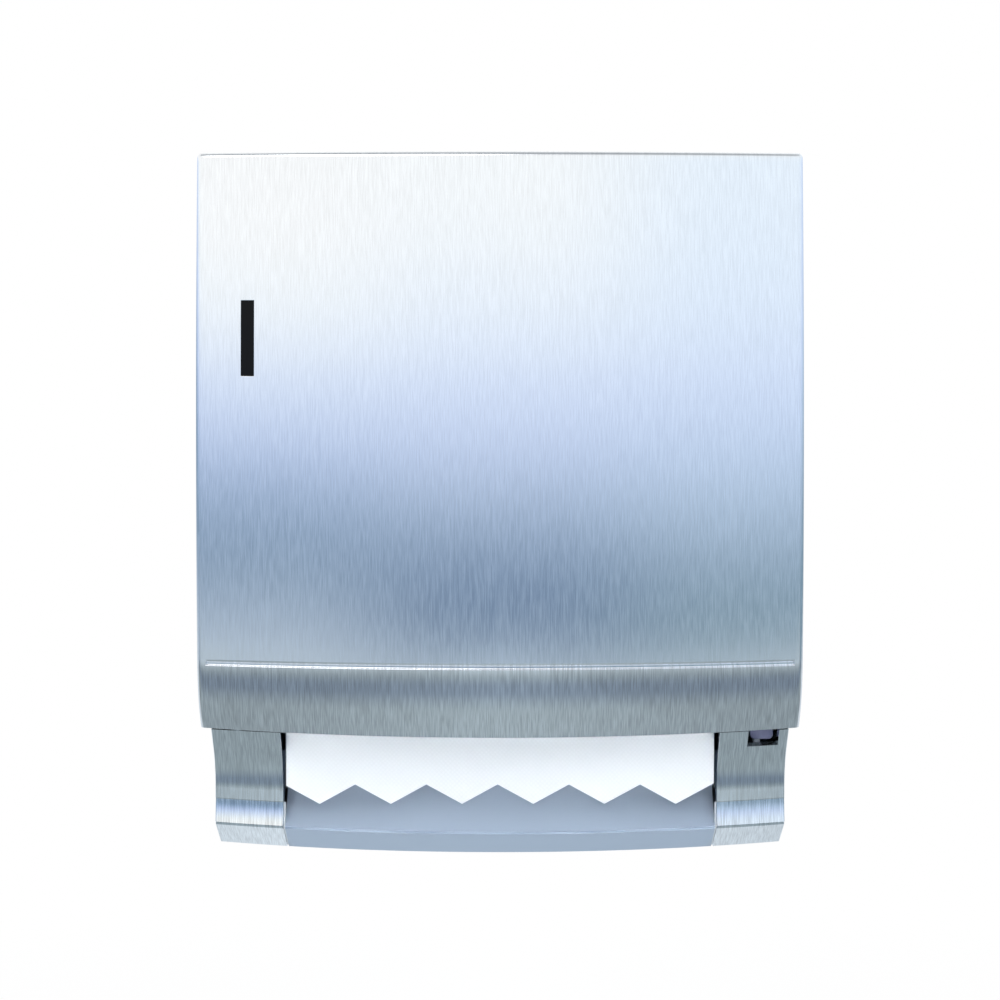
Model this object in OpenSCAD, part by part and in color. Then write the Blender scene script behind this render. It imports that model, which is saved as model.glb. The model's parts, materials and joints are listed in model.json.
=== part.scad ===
// Wall-hung roll towel dispenser: a bowed sheet-metal cover over a motor-fed roll,
// on two coved legs with a paper exit between them.
// x runs to the right, y runs to the wall (the wall is y = 0), z runs up.
// Inside the modules z is a height above the lowest edge; placed() moves the origin to the wall holes.

/* [Cover] */
// Width across the cover
cover_w = 300; // [280:1:330]
// Height from the foot of the legs to the top of the cover
total_h = 354.6; // [320:0.2:390]
// Distance from the wall to the middle of the seam, the foremost line
front_d = 215; // [195:1:236]
// How far the front bows forward from its side edges to its middle
bow = 16; // [12:0.5:20]
// How far the top edge of the front lies behind the seam
panel_lean = 19.8; // [14:0.2:22]
// Height of the seam groove
seam_h = 103.7; // [94:0.1:114]
// Height of the cover's lower edge at its sides
lip_h = 68.5; // [62:0.1:75]
// How far the lower edge rolls back behind the seam
lip_back = 13.8; // [10:0.2:15]
// How far the lower edge drops from its sides to its middle
lip_droop = 2.4; // [0.5:0.1:4]
// Sheet thickness
sheet_t = 1.2; // [0.8:0.1:1.6]
// Radius of the edge between the front and the top
edge_r = 2.5; // [2:0.1:6]
// Gap between the wall and the cover's rear edge
rear_gap = 6; // [5.5:0.1:7]
// Height of the pressed seam groove
groove_h = 3.5; // [2:0.1:5]
// Depth of the pressed seam groove
groove_t = 0.7; // [0.3:0.1:1]
// Distance from the cover's side to the end of the seam groove
groove_inset = 4.5; // [3:0.5:12]

/* [Level window] */
// Width of the slot in the cover
slot_w = 6.5; // [4:0.1:9]
// Height of the slot
slot_h = 37; // [25:0.5:50]
// Distance from the cover's left side to the middle of the slot
slot_side = 26; // [24:0.5:40]
// Drop from the top of the cover to the middle of the slot
slot_drop = 91.1; // [75:0.1:130]
// Width of the lens rim behind the sheet
lens_rim = 4; // [2:0.5:6]
// Thickness of the lens behind the sheet
lens_t = 2; // [1.5:0.1:3]
// Clearance of the lens in the slot
slot_clear = 0.15; // [0.1:0.05:0.3]

/* [Legs] */
// Distance from the cover's side to the leg's outer face
leg_inset = 4; // [3:0.5:6]
// Width of a leg
leg_w = 35; // [33:0.5:38]
// Wall of a leg
leg_wall = 2.5; // [2:0.1:3]
// Drop from the cover's lower edge to the top of a leg
leg_drop = 2.5; // [2:0.1:4]
// Setback of the legs' upright face behind the seam, on the middle line
leg_set = 33; // [29:0.5:37]
// Forward bow of the legs over their full width
leg_bow = 25; // [20:0.5:28]
// Height where the cove begins
cove_h = 32; // [29:0.5:36]
// Radius of the cove
cove_r = 18; // [14:0.5:20]
// Slope of the cove's upper face from upright
cove_angle = 42; // [36:0.5:43]
// Height of the crease above the foot
crease_h = 14.5; // [12:0.1:17]
// Forward flare of the crease
crease_flare = 2; // [1:0.1:2.5]
// Height of the flare above the crease
flare_rise = 13.5; // [11:0.5:14]
// Depth of the groove along the crease
crease_groove = 0.8; // [0.5:0.1:1]
// How far the underside falls back from the crease to the foot
foot_back = 23; // [18:0.5:26]

/* [Paper exit] */
// Gap between a leg and the scoop
scoop_gap = 1.7; // [1:0.1:3]
// Wall of the scoop
scoop_t = 2.5; // [2:0.1:3]
// Slope of the scoop's ramp
ramp_angle = 36; // [34:0.5:40]
// Height of the ramp's upper edge
ramp_top_h = 50; // [44:0.5:55]
// Thickness of the pan between the legs
pan_t = 2.5; // [2:0.1:3]
// Setback of the hanging paper behind the legs' upright face
paper_set = 11.3; // [10:0.1:12.5]
// Thickness of the paper as modelled
paper_t = 0.4; // [0.2:0.05:0.5]
// Height of the paper's lowest tips
tip_h = 27; // [24.5:0.5:34]
// Number of tear teeth
teeth = 6; // [5:1:8]
// Depth of the tear teeth
tooth_h = 10; // [6:0.5:11]
// Sideways shift of the torn end
tooth_shift = -1.2; // [-3:0.1:3]
// Drop of the blade's tips below the top of the legs
blade_drop = 3; // [2:0.5:5]
// Thickness of the tear blade
blade_t = 0.8; // [0.5:0.1:1]
// Gap between the paper and the tear blade
blade_gap = 0.6; // [0.4:0.1:1]

/* [Back plate] */
// Thickness of the back plate
plate_t = 2; // [1.5:0.1:2.5]
// Distance from the cover's side to the side of the plate
plate_side = 19; // [17:0.5:21]
// Drop from the top of the cover to the top of the plate
plate_drop = 16; // [15:0.5:22]
// Depth of the plate's side flanges
plate_flange = 12; // [8:0.5:14]
// Distance from the plate's side to a wall hole
hole_side = 41; // [37:0.5:45]
// Drop from the top of the plate to the upper wall holes
hole_drop = 28.6; // [25:0.2:34]
// Height of the lower wall holes
hole_low_h = 130; // [118:1:142]
// Diameter of the wall holes
hole_d = 5.5; // [4.5:0.1:7]

/* [Cover hinge] */
// Distance from the wall to the hinge axis
hinge_d = 12; // [11:0.1:13]
// Drop from the top of the cover to the hinge axis
hinge_drop = 8; // [7.2:0.1:9]
// Radius of the hinge pins
hinge_pin_r = 3; // [2:0.1:3.5]
// Radial clearance of turning fits
run_clear = 0.05; // [0.02:0.01:0.08]
// Thickness of the cover brackets
bracket_t = 2.5; // [2:0.1:3]
// Side gap between a bracket and its ear
bracket_gap = 1.5; // [1:0.1:2]
// Length of a bracket under the top of the cover
bracket_len = 28; // [24:0.5:34]
// Width of a bracket's tab on the cover
tab_w = 9; // [7:0.5:11]
// Length of a bracket's tab on the cover
tab_len = 24; // [20:0.5:28]

/* [Roll and hubs] */
// Distance from the cover's side to the roll's end, which is also the paper's edge
roll_side = 41.5; // [40:0.5:46]
// Height of the roll's axis, as a share of the panel's height above the seam
roll_share = 0.595; // [0.55:0.005:0.62]
// Gap between the back plate and the full roll
roll_back_gap = 6; // [4:0.1:8]
// Gap between the full roll and the cover's front, at the roll's ends
roll_front_gap = 12.5; // [8:0.1:16]
// Gap between the full roll and the cover's top
roll_top_gap = 11.4; // [8:0.1:16]
// Outer diameter of the core
core_d = 44; // [40:0.5:50]
// Wall of the core
core_t = 2; // [1:0.1:3]
// Length of a hub's nose inside the core
nose_len = 7.5; // [6:0.5:8]
// Radius of a hub's flange
flange_r = 28; // [26:0.5:32]
// Thickness of a hub's flange
flange_t = 2; // [1.5:0.1:2.5]
// Radius of the sliding hub's stem
stem_r = 6; // [5:0.1:7]
// Side gap between the roll and a flange
roll_gap = 0.5; // [0.3:0.1:1]
// Length of the hub spring's room at rest
hub_room = 11.5; // [11:0.1:12.5]
// Wire diameter of the hub spring
hub_wire = 0.8; // [0.6:0.1:1]
// Turns of the hub spring
hub_turns = 3; // [2:1:3]

/* [Frames] */
// Thickness of the side frames
frame_t = 3; // [2.5:0.1:3.5]
// Gap from the roll's end to the left frame
left_room = 4.5; // [4:0.1:5.5]
// Width of a frame's flange on the back plate
frame_flange = 16; // [12:0.5:18]
// Height of a frame's foot above the top of the legs
frame_rise = 6; // [4:0.5:8]
// Radius of the frame screws
screw_r = 2; // [1.5:0.1:2.5]
// Radius of the opening in a frame
bay_r = 22; // [16:0.5:24]

/* [Feed rollers] */
// Height of the nip above the top of the legs
nip_rise = 22; // [21:0.1:24]
// Radius of the drive roller
drive_r = 15; // [13:0.1:16]
// Distance from the paper's edge to the end of the drive roller
drive_end = 8.5; // [6:0.5:16]
// Radius of the drive shaft
shaft_r = 3; // [2.5:0.1:3.4]
// Radius of the pinch tyres
pinch_r = 9; // [7:0.1:9.9]
// Length of one pinch tyre
tyre_len = 50; // [30:1:60]
// Radius of the pinch shaft
pinch_shaft_r = 2.5; // [2:0.1:3]
// Gap between the paper and each roller as modelled
nip_gap = 0.3; // [0.2:0.05:0.4]
// Distance of the pinch pivot in front of the pinch shaft
pivot_out = 9.8; // [8.5:0.1:11]
// Height of the pinch pivot above the nip
pivot_rise = 22; // [20:0.5:24.5]
// Radius of the pinch pivot rod
pivot_r = 3; // [2.5:0.1:3.5]
// Thickness of a pinch arm
arm_t = 3; // [2.5:0.1:4]
// Distance from the paper's edge to a pinch arm's inner face
arm_inset = 6; // [5:0.5:8]
// Outer radius of a bush
bush_r = 7; // [6.5:0.1:8]

/* [Gear train] */
// Tooth module of all gears
gear_m = 1; // [0.9:0.01:1.1]
// Teeth of the motor pinion
pinion_n = 14; // [13:1:14]
// Teeth of the large idler wheel
idler_n = 44; // [42:1:44]
// Teeth of the small idler wheel
small_n = 14; // [13:1:14]
// Teeth of the drive gear
drive_n = 40; // [38:1:40]
// Face width of a gear
gear_w = 7; // [5:0.5:7.5]
// Gap between a gear and the frame
gear_gap = 3; // [2.5:0.1:3.5]
// Play between the flanks at the pitch circle
backlash = 0.25; // [0.15:0.05:0.4]
// Rise of the idler's axis above the drive axis, as an angle
idler_rise = 20; // [18:0.5:22]
// Radius of the motor
motor_r = 14; // [12:0.5:15]
// Length of the motor
motor_len = 34; // [28:0.5:36]
// Radius of the motor's shaft
motor_shaft_r = 1.5; // [1:0.1:2]
// Radius of the idler's axle
axle_r = 3; // [2:0.1:3.5]

/* [Battery box] */
// Radius of a cell
cell_r = 17; // [15:0.1:18.7]
// Room for the contacts at the end of a row of cells
cell_end = 9; // [7:0.5:12]
// Side gap between the box and the control housing
box_side_gap = 1; // [0.5:0.1:3]
// Wall of the box
box_wall = 2; // [1.5:0.1:2.5]
// Room round a cell
cell_room = 0.3; // [0.1:0.1:0.5]
// Height of the box's foot above the top of the legs
box_rise = 24; // [22:0.5:27]
// Thickness of the door
door_t = 2; // [1.5:0.1:3]
// Radius of the door's hinge studs
stud_r = 2; // [1.5:0.1:2.3]
// Thickness of a contact's leaf
contact_t = 0.6; // [0.4:0.1:0.8]
// Width of the door's pull
pull_w = 24; // [16:1:30]

/* [Controls] */
// Height of the control housing
ctrl_h = 52; // [46:0.5:58]
// Depth of the control housing
ctrl_d = 46; // [41:0.5:51]
// Height of the control housing's foot above the top of the legs
ctrl_rise = 2; // [1.5:0.1:4]
// Wall of the control housing
ctrl_wall = 2; // [1.5:0.1:2.5]
// Gap beside each control
ctrl_gap = 3; // [2.7:0.1:4]
// Radius of the feed button
button_r = 5; // [4:0.1:6]
// Travel of the feed button
button_travel = 1.5; // [1:0.1:2]
// Travel of the power switch
switch_travel = 5; // [3:0.1:6]
// Width of the switch's knob
knob_w = 5; // [4:0.1:6]
// Drop from the top of the control housing to the controls
knob_drop = 16; // [12:0.5:20]
// Radius of the sensor window
sensor_r = 9; // [6:0.5:12]
// Distance from the pan's front edge back to the sensor
sensor_set = 40.5; // [36:0.5:50]
// Height of the sensor board above the foot
sensor_h = 12; // [10:0.5:16]
// Half the width of the sensor board
sensor_half_w = 20; // [18:0.5:26]
// Half the depth of the sensor board
sensor_half_d = 15; // [14:0.5:20]

/* [Lock] */
// Width of the lock bolt
bolt_w = 12; // [10:0.5:13]
// Thickness of the lock bolt
bolt_t = 3; // [2:0.1:3.5]
// Side gap between the right frame and the bolt
bolt_gap = 1.5; // [1:0.1:2]
// Drop of the bolt's lower edge below the top of the leg, unlocked
bolt_drop = 6.5; // [5.5:0.1:7.2]
// Length of the bolt
bolt_len = 28; // [25:0.5:31]
// Travel of the bolt
bolt_travel = 6; // [4:0.5:7]
// Drop of the notch below the top of the right leg
notch_drop = 9; // [8:0.1:10]
// Width of the notch
notch_w = 16; // [14:0.5:18]
// Setback of the bolt's rear face behind the legs' upright face
bolt_set = 18.8; // [17.5:0.1:21]
// Clearance round the bolt
bolt_clear = 0.3; // [0.2:0.05:0.4]
// Thickness of the strike
strike_t = 2; // [1.5:0.1:2.5]

/* [Hidden] */
$fn = 64;

// Half the cover's width, the sides of the legs and the heights that hang on the cover's lower edge
half_w = cover_w / 2;
leg_out = half_w - leg_inset;
leg_in = leg_out - leg_w;
leg_top_h = lip_h - leg_drop;
leg_face_d = front_d - leg_set;

// Upright axes that the bowed fronts turn about, as distances behind the wall
cover_axis = (half_w * half_w + bow * bow) / (2 * bow) - front_d;
leg_axis = (leg_out * leg_out + leg_bow * leg_bow) / (2 * leg_bow) - leg_face_d;
behind = 10;
over = 1;

// Arcs of the cover's front: the panel above the seam and the rolled band below it
panel_h = total_h - seam_h;
panel_a = 2 * atan(panel_lean / panel_h);
panel_r = panel_h / sin(panel_a);
band_a = 2 * atan(lip_back / (seam_h - lip_h));
band_r = (seam_h - lip_h) / sin(band_a);
band_tail = 3 * (lip_droop + sheet_t);
lip_r = (half_w * half_w + lip_droop * lip_droop) / (2 * lip_droop);
slot_x = -half_w + slot_side;
slot_mid_h = total_h - slot_drop;

// Crease line of the legs and the scoop, and the edge where the scoop meets the pan
crease_d = leg_face_d + crease_flare;
foot_d = crease_d - foot_back;
pan_front_d = foot_d - 4 * scoop_t;
crease_top_h = crease_h + crease_groove;
crease_in = [[crease_d - crease_groove, crease_h + crease_groove / 2],
    [crease_d - crease_groove, crease_h - crease_groove / 2]];
flare_h = crease_top_h + flare_rise;
flare_a = 2 * atan(crease_flare / flare_rise);
flare_r = flare_rise / sin(flare_a);
ramp_top_d = crease_d - (ramp_top_h - crease_h) / tan(ramp_angle);
ramp_drop = scoop_t / cos(ramp_angle);
ramp_back = scoop_t / tan(ramp_angle) * 2.2;
scoop_x = leg_in - scoop_gap;
pan_wall_h = leg_top_h - 4 * pan_t;
pan_rib_h = 8 * pan_t;
pan_rib_d = pan_front_d - 16 * pan_t;

// Back plate, wall holes and the ears of the cover's hinge
plate_w = cover_w - 2 * plate_side;
plate_top_h = total_h - plate_drop;
plate_foot_h = plate_t / 2;
hole_x = plate_w / 2 - hole_side;
hole_top_h = plate_top_h - hole_drop;
mount_h = (hole_low_h + hole_top_h) / 2;
ear_x = plate_w / 2;
ear_t = plate_t;
ear_r = hinge_pin_r + 2.5;
hinge_h = total_h - hinge_drop;
bracket_x = ear_x + bracket_gap;
bracket_end_x = bracket_x + bracket_t;
under_top_h = total_h - sheet_t;
pin_end_x = bracket_end_x + 1;
pin_head_r = hinge_pin_r + 1.5;

// The full roll is the largest that keeps its gaps to the plate, the cover's front and the cover's top
roll_w = cover_w - 2 * roll_side;
roll_h = seam_h + roll_share * panel_h;
cover_round = cover_axis + front_d;
roll_end_set = cover_round - sqrt(cover_round * cover_round - roll_w * roll_w / 4);
roll_front_d = front_d - panel_lean * roll_share * roll_share - roll_end_set - sheet_t - roll_front_gap;
roll_back_d = plate_t + roll_back_gap;
roll_top_h = under_top_h - roll_top_gap;
roll_d = min(roll_front_d - roll_back_d, 2 * (roll_top_h - roll_h));
roll_axis_d = roll_back_d + roll_d / 2;
core_r = core_d / 2 - core_t;
nose_r = core_r - run_clear;
nose_taper = 3;
clip_t = 1.5;
clip_r = 2;

// Frames: the left one by the roll's end, the right one beyond the hub's spring
left_x = -roll_w / 2 - left_room;
hub_face_x = roll_w / 2 + roll_gap + flange_t;
right_x = hub_face_x + hub_room;
left_out_x = left_x - frame_t;
right_out_x = right_x + frame_t;
boss_len = 2;
boss_r = stem_r + 4;
stem_end_x = right_out_x + boss_len + 2 * clip_t;
frame_foot_h = leg_top_h + frame_rise;
frame_top_h = roll_h + flange_r / 2.8;
shoulder_d = roll_axis_d - flange_r * 1.8;
screw_low_h = frame_foot_h + 7 * screw_r;
screw_top_h = frame_top_h - 10 * screw_r;
screw_heights = [screw_low_h, (screw_low_h + screw_top_h) / 2, screw_top_h];
bay_d = roll_axis_d - 1.8 * bay_r;
bay_h = roll_h - 2.7 * bay_r;

// Paper and the rollers either side of it
paper_w = roll_w;
paper_d = leg_face_d - paper_set;
paper_back_d = paper_d - paper_t / 2;
paper_front_d = paper_d + paper_t / 2;
tooth_pitch = paper_w / teeth;
nip_h = leg_top_h + nip_rise;
drive_d = paper_back_d - nip_gap - drive_r;
pinch_d = paper_front_d + nip_gap + pinch_r;
pivot_d = pinch_d + pivot_out;
pivot_h = nip_h + pivot_rise;
drive_half = roll_w / 2 - drive_end;
tail_top_h = frame_foot_h;
nose_d = pivot_d + pivot_r + 4;
nose_h = pivot_r + 5;
nose_back_d = nose_d - drive_r * 2.2;

// The web runs up through the nip and on along the tangent to the roll
wrap_r = roll_d / 2 + nip_gap + paper_t / 2;
bend_h = nip_h + drive_r;
web_run = [roll_axis_d - paper_d, roll_h - bend_h];
web_a = atan2(web_run[1], web_run[0]) - asin(wrap_r / norm(web_run));
web_len = sqrt(web_run * web_run - wrap_r * wrap_r);
web_top = [paper_d + web_len * cos(web_a), bend_h + web_len * sin(web_a)];

// Tear bar and blade in front of the paper
bar_d = paper_front_d + blade_gap + blade_t;
bar_w = 5;
bar_h = 9;
blade_tip_h = leg_top_h - blade_drop;
blade_top_h = leg_top_h + bar_h + bar_w * 0.8;

// Pinch arms: half an arm's width is a step square to the line from the pinch axis to the pivot
arm_x = roll_w / 2 - arm_inset;
arm_out_x = arm_x + arm_t;
arm_end_r = 2.5;
arm_run = [pivot_d - pinch_d, pivot_h - nip_h];
arm_step = (pinch_shaft_r + 1.5) / norm(arm_run) * [arm_run[1], -arm_run[0]];
arm_foot = [pinch_d, nip_h];
arm_head = [pivot_d, pivot_h];
tube_x = arm_out_x + 0.5;
tyre_space = (2 * arm_x - 3 * tyre_len) / 4;
spring_wire = 0.8;
spring_len = 5 * spring_wire;
spring_x = tube_x + spring_wire;
spring_leg = 12;

// Gear centres: the idler up and back from the drive gear, the pinion level behind the idler
idler_c = gear_m * (small_n + drive_n) / 2;
pinion_c = gear_m * (pinion_n + idler_n) / 2;
idler_d = drive_d - idler_c * cos(idler_rise);
idler_h = nip_h + idler_c * sin(idler_rise);
pinion_d = idler_d - pinion_c;
gear_in_x = left_out_x - gear_gap;
gear_mid_x = gear_in_x - gear_w;
gear_step = 1;
gear_far_x = gear_mid_x - gear_step;
gear_out_x = gear_far_x - gear_w;
hub_len = 3;
pressure = 25;
tooth_up = 0.9 * gear_m;
tooth_down = 1.15 * gear_m;
gear_hole_r = 3.5 * gear_m;
motor_nose_r = 3 * motor_shaft_r;
motor_depth = motor_len * 0.44;
motor_tail = motor_len * 0.09;
gear_hub_r = shaft_r + 4;
gear_holes = 5;
hole_ring_r = gear_m * drive_n * 0.31;
shaft_left_x = gear_out_x - hub_len;
bush_flange = 1.5;
bush_over = 1;
clip_gap = 0.3;
shaft_clip_x = right_out_x + bush_over + clip_gap;
shaft_right_x = shaft_clip_x + clip_t + clip_gap;

// Control housing beside the right frame's flange, with the button and the switch side by side
ctrl_w = 2 * ctrl_wall + 3 * ctrl_gap + 2 * button_r + knob_w + switch_travel;
ctrl_x = right_x - frame_flange - clip_gap - ctrl_w;
ctrl_end_x = ctrl_x + ctrl_w;
ctrl_front_d = plate_t + ctrl_d;
ctrl_inner_d = ctrl_front_d - ctrl_wall;
ctrl_foot_h = leg_top_h + ctrl_rise;
ctrl_top_h = ctrl_foot_h + ctrl_h;
button_x = ctrl_x + ctrl_wall + ctrl_gap + button_r;
button_h = ctrl_top_h - knob_drop;
switch_x = button_x + button_r + ctrl_gap + knob_w / 2;
knob_h = 4;
knob_out = 3;
knob_clear = 0.3;
slide_gap = 0.1;
rim_t = 2;
rim_w = 1.2;
slider_back_d = ctrl_inner_d - slide_gap - rim_t;
tact_gap = 0.4;
tact_d = slider_back_d - button_travel - tact_gap;
tact_r = 3;
board_t = 1.6;
board_d = plate_t + ctrl_d * 0.6;

// Battery box between the control housing and its mirror place
box_out_x = ctrl_x - box_side_gap;
box_in_x = box_out_x - box_wall;
cell_len = box_in_x - cell_end;
cell_gap = 0.5;
cell_pitch = 2 * (cell_r + cell_room);
cell_d = plate_t + box_wall + cell_pitch / 2;
box_h = leg_top_h + box_rise;
box_top_h = box_h + 2 * cell_pitch + 2 * box_wall;
box_front_d = plate_t + box_wall + cell_pitch;
door_gap = 0.2;
door_mid_d = box_front_d + door_gap + door_t / 2;
stud_wall = 2.5;
stud_h = box_h - stud_wall - 0.5;
stud_x = box_in_x - 4 * box_wall;
ear_w = 3;
ear_gap = 0.3;
door_foot_h = stud_h + stud_r + stud_wall + 0.7;
pull_d = 4;
pull_h = 3;

// Bent leaves between the box's ends and the cells
contact_w = cell_r * 2 / 3;
contact_h = cell_r / 2;
contact_tip_x = cell_gap + cell_len + slide_gap;
contact_run = box_in_x - contact_tip_x;
contact_slope = atan2(contact_h, contact_run);
contact_in = contact_t / sin(contact_slope);
contact_foot = contact_t / cos(contact_slope);

// Sensor under the pan
sensor_d = pan_front_d - sensor_set;
sensor_sink = 0.3;
sensor_rim = 2;
sensor_rim_h = 1.5;
post_r = 2;
post_x = sensor_half_w - 2 * post_r;
post_d = sensor_half_d - 2 * post_r;
eye_r = 2.5;
eye_x = 4;
eye_gap = 0.3;

// Lock
bolt_x = right_out_x + bolt_gap + bolt_w / 2;
bolt_d = leg_face_d - bolt_set;
bolt_h = leg_top_h - bolt_drop;
bolt_front_d = bolt_d + bolt_t;
notch_h = leg_top_h - notch_drop;
guide_h = notch_h + 1;
guide_top_h = leg_top_h + 4;
guide_t = 11;
guide_back_d = bolt_d - guide_t;
rail_in = bolt_w / 2 + bolt_clear;
rail_t = 3;
rail_lip = 1.4;
rail_lip_t = 1.5;
rail_front_d = bolt_front_d + bolt_clear;
stop_w = 3;
stop_h = 1.2;
strike_gap = 2;
strike_h = bolt_h + bolt_len + strike_gap;
strike_slot = 0.7;
strike_x = bolt_x - bolt_w / 2 + 2.5;
strike_back_d = bolt_d - strike_slot - 3;
strike_end_x = bolt_x + bolt_w / 2 + 5;

function arc(c, r, a0, a1, n) =
    [for (i = [0:n]) let (a = a0 + (a1 - a0) * i / n) [c[0] + r * cos(a), c[1] + r * sin(a)]];

// The cover's front, from the top edge down, set back by off, as [distance from the wall, height]
function cover_front(off) =
    let (
        edge_a = asin((panel_h - edge_r) / (panel_r - edge_r)),
        panel_c = [front_d - panel_r, seam_h],
        edge_c = [panel_c[0] + (panel_r - edge_r) * cos(edge_a), total_h - edge_r],
        band_c = [front_d - band_r, seam_h],
        band_foot = band_c + (band_r - off) * [cos(band_a), -sin(band_a)]
    )
    concat(
        arc(edge_c, max(edge_r - off, 0.1), 90, edge_a, 6),
        arc(panel_c, panel_r - off, edge_a, 0, 12),
        [for (p = arc(band_c, band_r - off, 0, -band_a, 10)) if (p[1] < seam_h) p],
        [band_foot - band_tail * [sin(band_a), cos(band_a)]]
    );

// Height of the open end of the cover's front, below the cut of its lower edge
function band_end_h(off) = seam_h - (band_r - off) * sin(band_a) - band_tail * cos(band_a);

// The legs' front from the top down, set back by off and carried on above the top by up
function leg_front(off, up) =
    let (
        slope_c = [leg_face_d + cove_r, cove_h],
        slope_d = leg_face_d + cove_r * (1 - cos(cove_angle)),
        slope_h = cove_h + cove_r * sin(cove_angle),
        top_d = slope_d + (leg_top_h + up - slope_h) * tan(cove_angle)
    )
    [for (p = concat(
        [[top_d, leg_top_h + up]],
        arc(slope_c, cove_r, 180 - cove_angle, 180, 6),
        arc([leg_face_d + flare_r, flare_h], flare_r, 180, 180 + flare_a, 5)
    )) [p[0] - off / cos(cove_angle), p[1]]];

// Turns a profile of [distance from the wall, height] about an upright axis behind the wall
module bowed(axis, reach) {
    fan = 2 * asin((reach + over) / (axis - behind));
    translate([0, axis, 0]) rotate([0, 0, -90 - fan / 2]) rotate_extrude(angle = fan, $fn = 180)
        translate([axis, 0]) children();
}

// A block given by its limits in x, distance from the wall, and height
module block(x0, x1, d0, d1, h0, h1)
    translate([x0, -d1, h0]) cube([x1 - x0, d1 - d0, h1 - h0]);

// A rod along x
module rod(x0, x1, d, h, r)
    translate([x0, -d, h]) rotate([0, 90, 0]) cylinder(r = r, h = x1 - x0);

// A rod along y, from distance d0 to d1 from the wall
module post(x, d0, d1, h, r)
    translate([x, -d0, h]) rotate([90, 0, 0]) cylinder(r = r, h = d1 - d0);

// A rod along z
module stud(x, d, h0, h1, r)
    translate([x, -d, h0]) cylinder(r = r, h = h1 - h0);

// A flat plate across x, drawn as [distance from the wall, height]
module side_plate(x0, t)
    translate([x0, 0, 0]) rotate([90, 0, 90]) linear_extrude(t) mirror([1, 0]) children();

// A flat plate across y, drawn as [x, height]
module front_plate(d0, t)
    translate([0, -d0, 0]) rotate([90, 0, 0]) linear_extrude(t) children();

module both_sides() {
    children();
    mirror([1, 0, 0]) children();
}

module rotate_about(d, h, a)
    translate([0, -d, h]) rotate([a, 0, 0]) translate([0, d, -h]) children();

module placed() translate([0, 0, -mount_h]) children();

// Everything behind the cover's outer face, set in by off; the lower edge is cut only on the outer face
module cover_core(off, back) intersection() {
    bowed(cover_axis, half_w) polygon(concat(
        [[-behind, band_end_h(off)], [-behind, total_h - off]], cover_front(off)));
    block(-half_w + off, half_w - off, back, front_d + over, 0, total_h + over);
}

// A strip along the seam, between the ends of the groove
module seam_strip(d0, d1, h) intersection() {
    bowed(cover_axis, half_w) translate([d0, seam_h - h / 2]) square([d1 - d0, h]);
    block(-half_w + groove_inset, half_w - groove_inset, 0, front_d + over, 0, total_h);
}

module below_lip() front_plate(0, front_d + over) polygon(concat(
    [[half_w + over, 0], [-half_w - over, 0]],
    [for (i = [-8:8]) let (x = half_w * i / 8) [x + (abs(i) == 8 ? sign(i) * over : 0),
        lip_h - lip_droop + lip_r - sqrt(lip_r * lip_r - x * x)]]));

// The room of the slot, widened by grow
module slot_block(grow)
    block(slot_x - slot_w / 2 - grow, slot_x + slot_w / 2 + grow, front_d / 2, front_d,
        slot_mid_h - slot_h / 2 - grow, slot_mid_h + slot_h / 2 + grow);

module front_cover() color([0.78, 0.82, 0.86]) placed() difference() {
    union() {
        difference() {
            cover_core(0, rear_gap);
            cover_core(sheet_t, rear_gap - over);
        }
        seam_strip(front_d - sheet_t - groove_t, front_d - groove_t / 2, groove_h + 2 * sheet_t);
    }
    below_lip();
    seam_strip(front_d - groove_t, front_d + over, groove_h);
    slot_block(0);
}

module level_window() color([0.05, 0.05, 0.06]) placed() {
    intersection() {
        difference() {
            cover_core(sheet_t, 0);
            cover_core(sheet_t + lens_t, -over);
        }
        slot_block(lens_rim);
    }
    intersection() {
        difference() {
            cover_core(sheet_t / 2, 0);
            cover_core(sheet_t + lens_t / 2, -over);
        }
        slot_block(-slot_clear);
    }
}

module cover_brackets() color("gainsboro") placed() both_sides() {
    difference() {
        union() {
            side_plate(bracket_x, bracket_t) polygon([[hinge_d - hinge_pin_r - 1, under_top_h],
                [hinge_d + bracket_len, under_top_h], [hinge_d + hinge_pin_r + 1, hinge_h - hinge_pin_r - 1],
                [hinge_d - hinge_pin_r - 1, hinge_h - hinge_pin_r - 1]]);
            rod(bracket_x, bracket_end_x, hinge_d, hinge_h, ear_r);
        }
        rod(bracket_x - over, bracket_end_x + over, hinge_d, hinge_h, hinge_pin_r + run_clear);
    }
    block(bracket_end_x, bracket_end_x + tab_w, hinge_d, hinge_d + tab_len,
        under_top_h - bracket_t, under_top_h);
}

module hinge_pins() color("silver") placed() both_sides() {
    rod(ear_x - ear_t, pin_end_x, hinge_d, hinge_h, hinge_pin_r);
    rod(ear_x - 2 * ear_t, ear_x - ear_t, hinge_d, hinge_h, pin_head_r);
}

module back_plate() color("lightgray") placed() difference() {
    union() {
        block(-ear_x, ear_x, 0, plate_t, plate_foot_h, plate_top_h);
        both_sides() {
            block(ear_x - ear_t, ear_x, plate_t, plate_t + plate_flange, frame_foot_h, plate_top_h);
            block(ear_x - ear_t, ear_x, hinge_d - ear_r, hinge_d + ear_r, plate_top_h - hinge_drop, hinge_h);
            rod(ear_x - ear_t, ear_x, hinge_d, hinge_h, ear_r);
        }
    }
    both_sides() {
        for (h = [hole_low_h, hole_top_h]) post(hole_x, -over, plate_t + over, h, hole_d / 2);
        rod(ear_x - ear_t - over, ear_x + over, hinge_d, hinge_h, hinge_pin_r);
    }
}

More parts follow.
